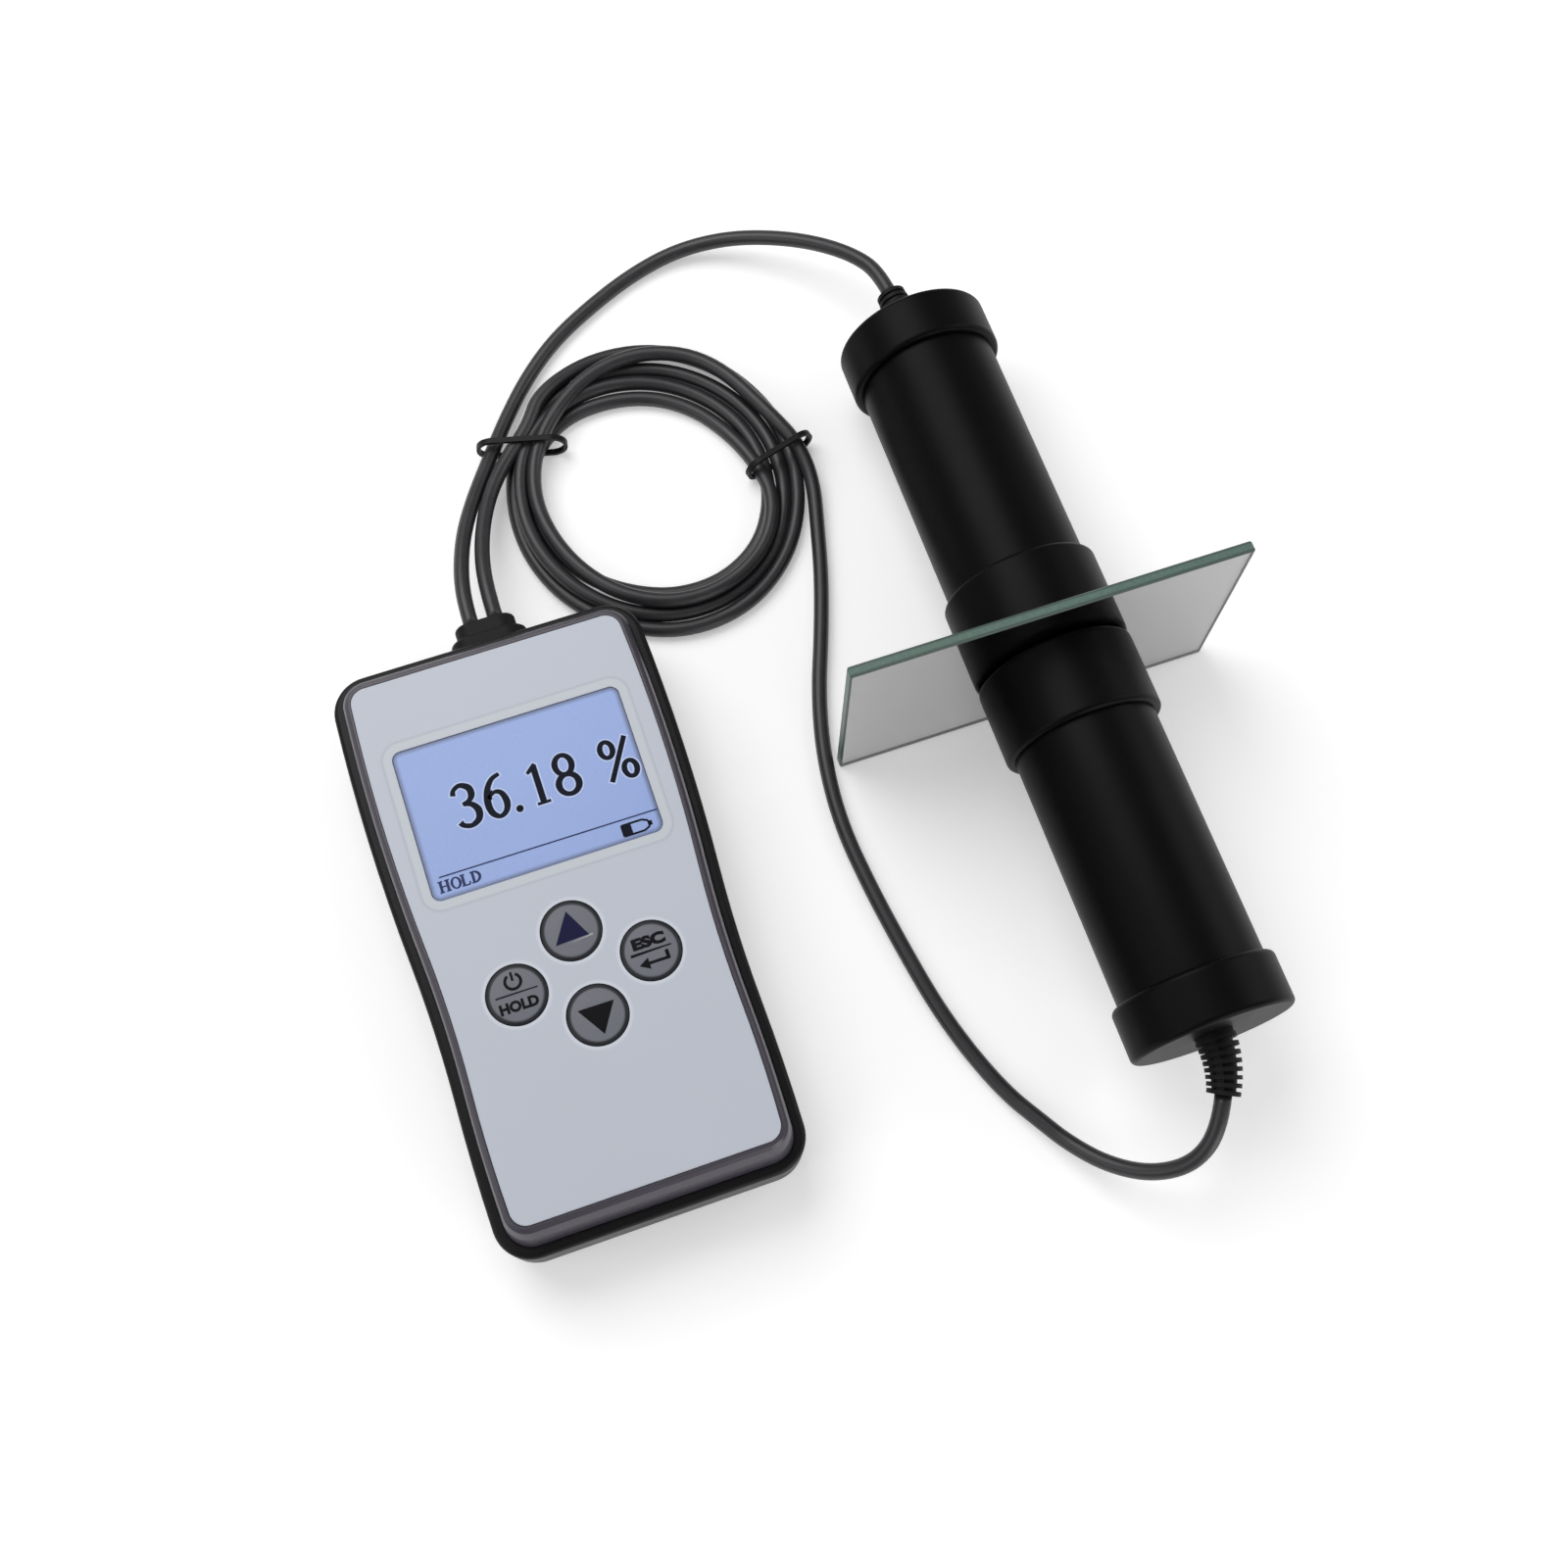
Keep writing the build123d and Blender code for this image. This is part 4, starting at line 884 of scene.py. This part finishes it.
class MeterSettings(bpy.types.PropertyGroup):
    """Sizes and colours that can be changed before the parts are made."""

    cord_diameter: bpy.props.FloatProperty(
        name="Cord diameter", description="Outside diameter of both cords", default=0.0035, unit="LENGTH")
    coil_step: bpy.props.FloatProperty(
        name="Coil step", description="Angle between the control points of the coil", default=math.radians(24),
        subtype="ANGLE")
    case_colour: bpy.props.FloatVectorProperty(
        name="Case", description="Moulded case", default=tone(13, 12, 15), subtype="COLOR")
    panel_colour: bpy.props.FloatVectorProperty(
        name="Panel", description="Front panel", default=tone(196, 201, 212), subtype="COLOR")
    screen_colour: bpy.props.FloatVectorProperty(
        name="Display", description="Lit display", default=tone(140, 161, 212), subtype="COLOR")
    ink_colour: bpy.props.FloatVectorProperty(
        name="Reading", description="Figures on the display", default=tone(6, 12, 30), subtype="COLOR")
    key_colour: bpy.props.FloatVectorProperty(
        name="Keys", description="Key faces", default=tone(112, 114, 122), subtype="COLOR")
    probe_colour: bpy.props.FloatVectorProperty(
        name="Probes", description="Anodised probe bodies", default=tone(4, 4, 5), subtype="COLOR")
    cord_colour: bpy.props.FloatVectorProperty(
        name="Cords", description="Cord jackets", default=tone(36, 36, 39), subtype="COLOR")
    glass_face: bpy.props.FloatVectorProperty(
        name="Sample", description="Tint of the sample through its face", default=(0.36, 0.36, 0.36), subtype="COLOR")
    glass_edge: bpy.props.FloatVectorProperty(
        name="Sample edge", description="Green of the sample's edges", default=tone(88, 112, 103), subtype="COLOR")
    floor_colour: bpy.props.FloatVectorProperty(
        name="Floor", description="Floor and backdrop", default=(0.93, 0.93, 0.93), subtype="COLOR")


class METER_OT_cords(bpy.types.Operator):
    """Both cords, the near one with its tied coil"""
    bl_idname = "meter.cords"
    bl_label = "Cords"

    def execute(self, context):
        chosen = settings()
        jacket = cord_jacket("cord_jacket", chosen.cord_colour)
        far_line = spline_points("far_line", FAR_ROUTE)
        far = mesh_piece("receiver_cord", tube_mesh("receiver_cord", far_line, chosen.cord_diameter), jacket,
                         "root")
        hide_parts("far_cord")
        turns = coil_route(chosen.cord_diameter / MM, math.degrees(chosen.coil_step))
        near_line = spline_points("near_line", (*LEAD_ROUTE, *turns, *RUN_ROUTE))
        near = bpy.data.objects.new("source_cord", tube_mesh("source_cord", near_line, chosen.cord_diameter, 12))
        context.scene.collection.objects.link(near)
        near.data.materials.append(jacket)
        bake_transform(near)
        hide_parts("near_cord_lead", "cord_coil", "near_cord_run", "near_cord_end")
        put_on(moulded_plastic("tie_plastic", tone(16, 16, 17), 0.45, 0.2, 0.2), "left_tie", "right_tie")
        put_on(jacket, "inner_leads", "far_inner_lead", "near_inner_lead")
        return {"FINISHED"}


class METER_OT_case(bpy.types.Operator):
    """Case shells, panel, boot and battery door"""
    bl_idname = "meter.case"
    bl_label = "Case"

    def execute(self, context):
        chosen = settings()
        put_on(moulded_plastic("case_plastic", chosen.case_colour, 0.42, 0.26, 0.22), "bottom_case", "battery_door")
        # Painted sheen: the front shell is coloured a lighter grey than the black case plastic, standing in for the
        # light its sloped band catches
        put_on(moulded_plastic("front_shell_plastic", tone(64, 60, 70), 0.34, 0.22, 0.5), "top_case")
        put_on(panel_finish("panel_satin", chosen.panel_colour), "front_panel")
        put_on(soft_rubber("boot_rubber", tone(20, 20, 22)), "cable_boot", "far_strain_relief", "near_strain_relief")
        return {"FINISHED"}


class METER_OT_display(bpy.types.Operator):
    """Display window, its reading, its small word and its battery mark"""
    bl_idname = "meter.display"
    bl_label = "Display"

    def execute(self, context):
        chosen = settings()
        put_on(screen_finish("lit_display", chosen.screen_colour, tone(96, 110, 146)), "lcd_window")
        put_on(clear_finish("display_glass", (0.8, 0.85, 0.86)), "lcd_glass")
        put_on(moulded_plastic("display_frame_white", tone(214, 214, 210), 0.5, 0.2), "lcd_frame", "backlight")
        ink = printed("display_ink", chosen.ink_colour, 0.35)
        # Painted glow: a pale outline, lighter than the display, is laid round the reading's figures and stands in for
        # light round them
        halo = printed("display_halo", tone(190, 204, 244), 0.35)
        faint = printed("display_ink_faint", tone(50, 60, 98), 0.35)
        line, *battery = small_mark_strokes()
        for name, strokes, lift, extra, finish in (
                ("reading_painted_glow", reading_strokes(), 0.008, 0.4, halo),
                ("reading", reading_strokes(), 0.022, 0.07, ink),
                ("hold_word", small_word_strokes(), 0.02, 0.0, faint),
                ("display_line", [line], 0.02, 0.0, faint),
                ("battery_mark", battery, 0.02, 0.0, ink)):
            mesh_piece(name, strokes_mesh(name, strokes, SCREEN_TOP + lift, extra), finish, "root")
        return {"FINISHED"}


class METER_OT_keys(bpy.types.Operator):
    """The four keys and their marks"""
    bl_idname = "meter.keys"
    bl_label = "Keys"

    def execute(self, context):
        chosen = settings()
        for key, centre in KEYS.items():
            put_on(key_finish(key + "_satin", centre, chosen.key_colour, tone(22, 24, 32)), key)
        put_on(soft_rubber("mat_rubber", tone(150, 152, 156)), "key_mat")
        dark = printed("key_print_dark", tone(14, 13, 18), 0.45)
        navy = printed("key_print_navy", tone(26, 26, 62), 0.45)
        pale = printed("key_print_pale", tone(176, 177, 184), 0.45)
        self.mark("up_key", "up_key_arrow", navy, ((-3.8, -2.15), (3.2, -1.85), (0.1, 4.1)))
        self.mark("up_key", "up_key_arrow_edge", pale, ((-1.6, -2.5), (3.9, -2.2), (3.9, -1.75), (3.2, -2.0)))
        self.mark("down_key", "down_key_arrow", dark, ((-3.6, 1.9), (0.2, -4.15), (3.9, 1.85)))
        self.power_key(dark)
        self.enter_key(dark)
        return {"FINISHED"}

    def mark(self, key, name, ink, corners):
        x, y = KEYS[key]
        shape = bmesh.new()
        add_patch(shape, [(x + across, y + along) for across, along in corners], 0.01)
        self.lay(name, key, flat_mesh(name, shape), ink)

    def power_key(self, ink):
        x, y = KEYS["power_key"]
        shape = bmesh.new()
        add_stroke(shape, oval((x, y + 2.75), 1.6, 1.55, 120, 300, 22), [0.6, 0.6], 0.0, smooth=False)
        add_stroke(shape, [(x, y + 2.9), (x, y + 4.75)], [0.5, 0.5], 0.004)
        add_stroke(shape, [(x - 4.3, y + 0.3), (x + 4.4, y + 0.3)], [0.34, 0.26], 0.0)
        self.lay("power_mark", "power_key", flat_mesh("power_mark", shape), ink)
        self.lay("power_word", "power_key", word_mesh("power_word", "HOLD", (x - 0.1, y - 2.2), 2.3, 8.0, 0.16), ink)

    def enter_key(self, ink):
        x, y = KEYS["enter_key"]
        shape = bmesh.new()
        add_stroke(shape, [(x - 4.3, y - 0.1), (x + 4.2, y)], [0.6, 0.28], 0.0)
        add_stroke(shape, [(x + 2.9, y - 0.8), (x + 2.9, y - 2.75)], [0.75, 0.75], 0.0)
        add_stroke(shape, [(x + 3.27, y - 2.45), (x - 1.4, y - 2.45)], [0.6, 0.6], 0.004)
        add_patch(shape, [(x - 3.2, y - 2.45), (x - 1.1, y - 3.65), (x - 1.1, y - 1.25)], 0.0)
        self.lay("enter_mark", "enter_key", flat_mesh("enter_mark", shape), ink)
        self.lay("escape_word", "enter_key", word_mesh("escape_word", "ESC", (x, y + 2.0), 2.5, 6.9, 0.22), ink)

    def lay(self, name, key, mesh, ink):
        lay_on_key(mesh, key)
        mesh_piece(name, mesh, ink, key)


class METER_OT_probes(bpy.types.Operator):
    """Both probes, outside and inside"""
    bl_idname = "meter.probes"
    bl_label = "Probes"

    def execute(self, context):
        chosen = settings()
        black = anodised("probe_black", chosen.probe_colour)
        for side in ("far", "near"):
            put_on(black, side + "_front_ring", side + "_tube", side + "_end_cap")
        put_on(bare_metal("nickel", (0.72, 0.7, 0.66), 0.2), "far_magnets", "near_magnets")
        put_on(clear_finish("window_clear", (0.86, 0.88, 0.88)), "far_window", "near_window", "beam_lens")
        put_on(clear_finish("lamp_clear", (0.9, 0.9, 0.84), 0.08), "lamp")
        put_on(clear_finish("filter_green", (0.35, 0.6, 0.36)), "far_filter")
        put_on(moulded_plastic("holder_black", tone(34, 34, 36), 0.6, 0.3), "sensor_holder", "lamp_holder")
        return {"FINISHED"}


class METER_OT_sample(bpy.types.Operator):
    """The glass plate between the probes"""
    bl_idname = "meter.sample"
    bl_label = "Glass sample"

    def execute(self, context):
        chosen = settings()
        put_on(sample_finish("sample_glass", chosen.glass_face, chosen.glass_edge), "glass_plate")
        return {"FINISHED"}


class METER_OT_inside(bpy.types.Operator):
    """Boards, chips, cells and contacts inside the case and the probes"""
    bl_idname = "meter.inside"
    bl_label = "Inside"

    def execute(self, context):
        put_on(board_finish("circuit_board", tone(22, 92, 44)), "main_board", "sensor_board", "lamp_board")
        put_on(moulded_plastic("chip_black", tone(32, 32, 34), 0.4, 0.15), "board_chips")
        put_on(battery_finish("cell_jacket", tone(46, 47, 52), (0.6, 0.6, 0.6)), "batteries")
        put_on(bare_metal("contact_steel", (0.62, 0.62, 0.63), 0.3), "battery_contacts", "light_sensor")
        put_on(moulded_plastic("socket_white", tone(226, 224, 214), 0.45, 0.2), "cord_sockets")
        return {"FINISHED"}


class METER_OT_screws(bpy.types.Operator):
    """Screws of the case and of the main board"""
    bl_idname = "meter.screws"
    bl_label = "Screws"

    def execute(self, context):
        steel = bare_metal("screw_steel", (0.56, 0.56, 0.58), 0.28)
        put_on(steel, "sensor_board_screws", "lamp_board_screws")
        tree = screw_tree()
        for node, head, tall, shank in (("case_screws", 2.4, 2.0, 1.45), ("board_screws", 2.1, 1.5, 1.0)):
            low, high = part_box(node)
            seat = low.z + tall * MM
            across, along = high.x - head * MM, high.y - head * MM
            spots = [(x * across, y * along, seat) for x in (-1, 1) for y in (-1, 1)]
            mesh = grown_mesh(node, tree, spots, {
                "Head radius": head * MM, "Head height": tall * MM, "Shank radius": shank * MM,
                "Shank length": high.z - seat, "Finish": steel})
            screws = mesh_piece("cross_" + node, mesh, steel, "root")
            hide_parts(node)
        return {"FINISHED"}


class METER_OT_stage(bpy.types.Operator):
    """Camera, floor, lamps and world"""
    bl_idname = "meter.stage"
    bl_label = "Stage"

    def execute(self, context):
        chosen = settings()
        self.camera(context)
        self.floor(context, chosen.floor_colour)
        for lamp in LAMPS:
            self.lamp(context, *lamp)
        world = bpy.data.worlds.new("studio")
        context.scene.world = world
        world.use_nodes = True
        back = world.node_tree.nodes["Background"]
        back.inputs["Color"].default_value = (1.0, 1.0, 1.0, 1.0)
        back.inputs["Strength"].default_value = 0.3
        context.scene.view_settings.view_transform = "Standard"
        return {"FINISHED"}

    def camera(self, context):
        lens = bpy.data.cameras.new("photo_camera")
        lens.sensor_width = SENSOR_WIDTH
        lens.sensor_fit = "HORIZONTAL"
        lens.lens = PHOTO_FOCAL / PHOTO_WIDTH * SENSOR_WIDTH
        lens.clip_start = 0.01
        lens.clip_end = 20.0
        camera = bpy.data.objects.new("photo_camera", lens)
        context.scene.collection.objects.link(camera)
        around_x, around_y, around_z = (
            Matrix.Rotation(angle, 3, axis) for angle, axis in zip(CAMERA_TURNS, "XYZ"))
        turn = around_z @ around_y @ around_x @ Matrix.Diagonal((1, -1, -1))
        axes = Matrix((turn[0], -turn[1], -turn[2])).transposed()
        camera.matrix_world = Matrix.Translation(Vector(CAMERA_PLACE) * MM) @ axes.to_4x4()
        context.scene.camera = camera

    def floor(self, context, colour):
        paint = Paint("pale_floor")
        rays = [paint.node("ShaderNodeLightPath", output=name)
                for name in ("Is Camera Ray", "Is Glossy Ray", "Is Transmission Ray")]
        seen = rays[0].larger(rays[1]).larger(rays[2])
        cloud = paint.noise(3.0, 2.0, 0.5)
        matte = paint.shader(Base_Color=paint.mix(cloud, shade(colour, 0.995), colour), Roughness=0.9,
                             Specular_IOR_Level=0.0, Emission_Color=colour4(colour),
                             Emission_Strength=seen * 0.34)
        mesh = bpy.data.meshes.new("floor")
        shape = bmesh.new()
        bmesh.ops.create_grid(shape, x_segments=8, y_segments=8, size=3.0)
        shape.to_mesh(mesh)
        shape.free()
        floor = bpy.data.objects.new("floor", mesh)
        floor.data.materials.append(paint.finish(matte))
        context.scene.collection.objects.link(floor)

    def lamp(self, context, name, place, aim, size, power):
        light = bpy.data.lights.new(name, "AREA")
        light.shape = "DISK"
        light.size = size
        light.energy = power
        lamp = bpy.data.objects.new(name, light)
        lamp.location = place
        lamp.rotation_euler = (Vector(aim) - Vector(place)).to_track_quat("-Z", "Y").to_euler()
        context.scene.collection.objects.link(lamp)


class METER_PT_panel(bpy.types.Panel):
    """Lists the meter's settings and the steps that make it"""
    bl_idname = "METER_PT_panel"
    bl_label = "Light transmission meter"
    bl_space_type = "VIEW_3D"
    bl_region_type = "UI"
    bl_category = "Meter"

    def draw(self, context):
        for name in MeterSettings.__annotations__:
            self.layout.prop(context.scene.meter_settings, name)
        for step in STEPS:
            self.layout.operator(step.bl_idname)


STEPS = (METER_OT_stage, METER_OT_cords, METER_OT_case, METER_OT_display, METER_OT_keys, METER_OT_probes,
         METER_OT_sample, METER_OT_inside, METER_OT_screws)
CLASSES = (MeterSettings, *STEPS, METER_PT_panel)


def register():
    for made in CLASSES:
        bpy.utils.register_class(made)
    bpy.types.Scene.meter_settings = bpy.props.PointerProperty(type=MeterSettings)


def unregister():
    del bpy.types.Scene.meter_settings
    for made in reversed(CLASSES):
        bpy.utils.unregister_class(made)


def main():
    register()
    bpy.ops.meter.stage()
    bpy.ops.meter.cords()
    bpy.ops.meter.case()
    bpy.ops.meter.display()
    bpy.ops.meter.keys()
    bpy.ops.meter.probes()
    bpy.ops.meter.sample()
    bpy.ops.meter.inside()
    bpy.ops.meter.screws()
    bpy.context.view_layer.update()


if __name__ == "__main__":
    main()
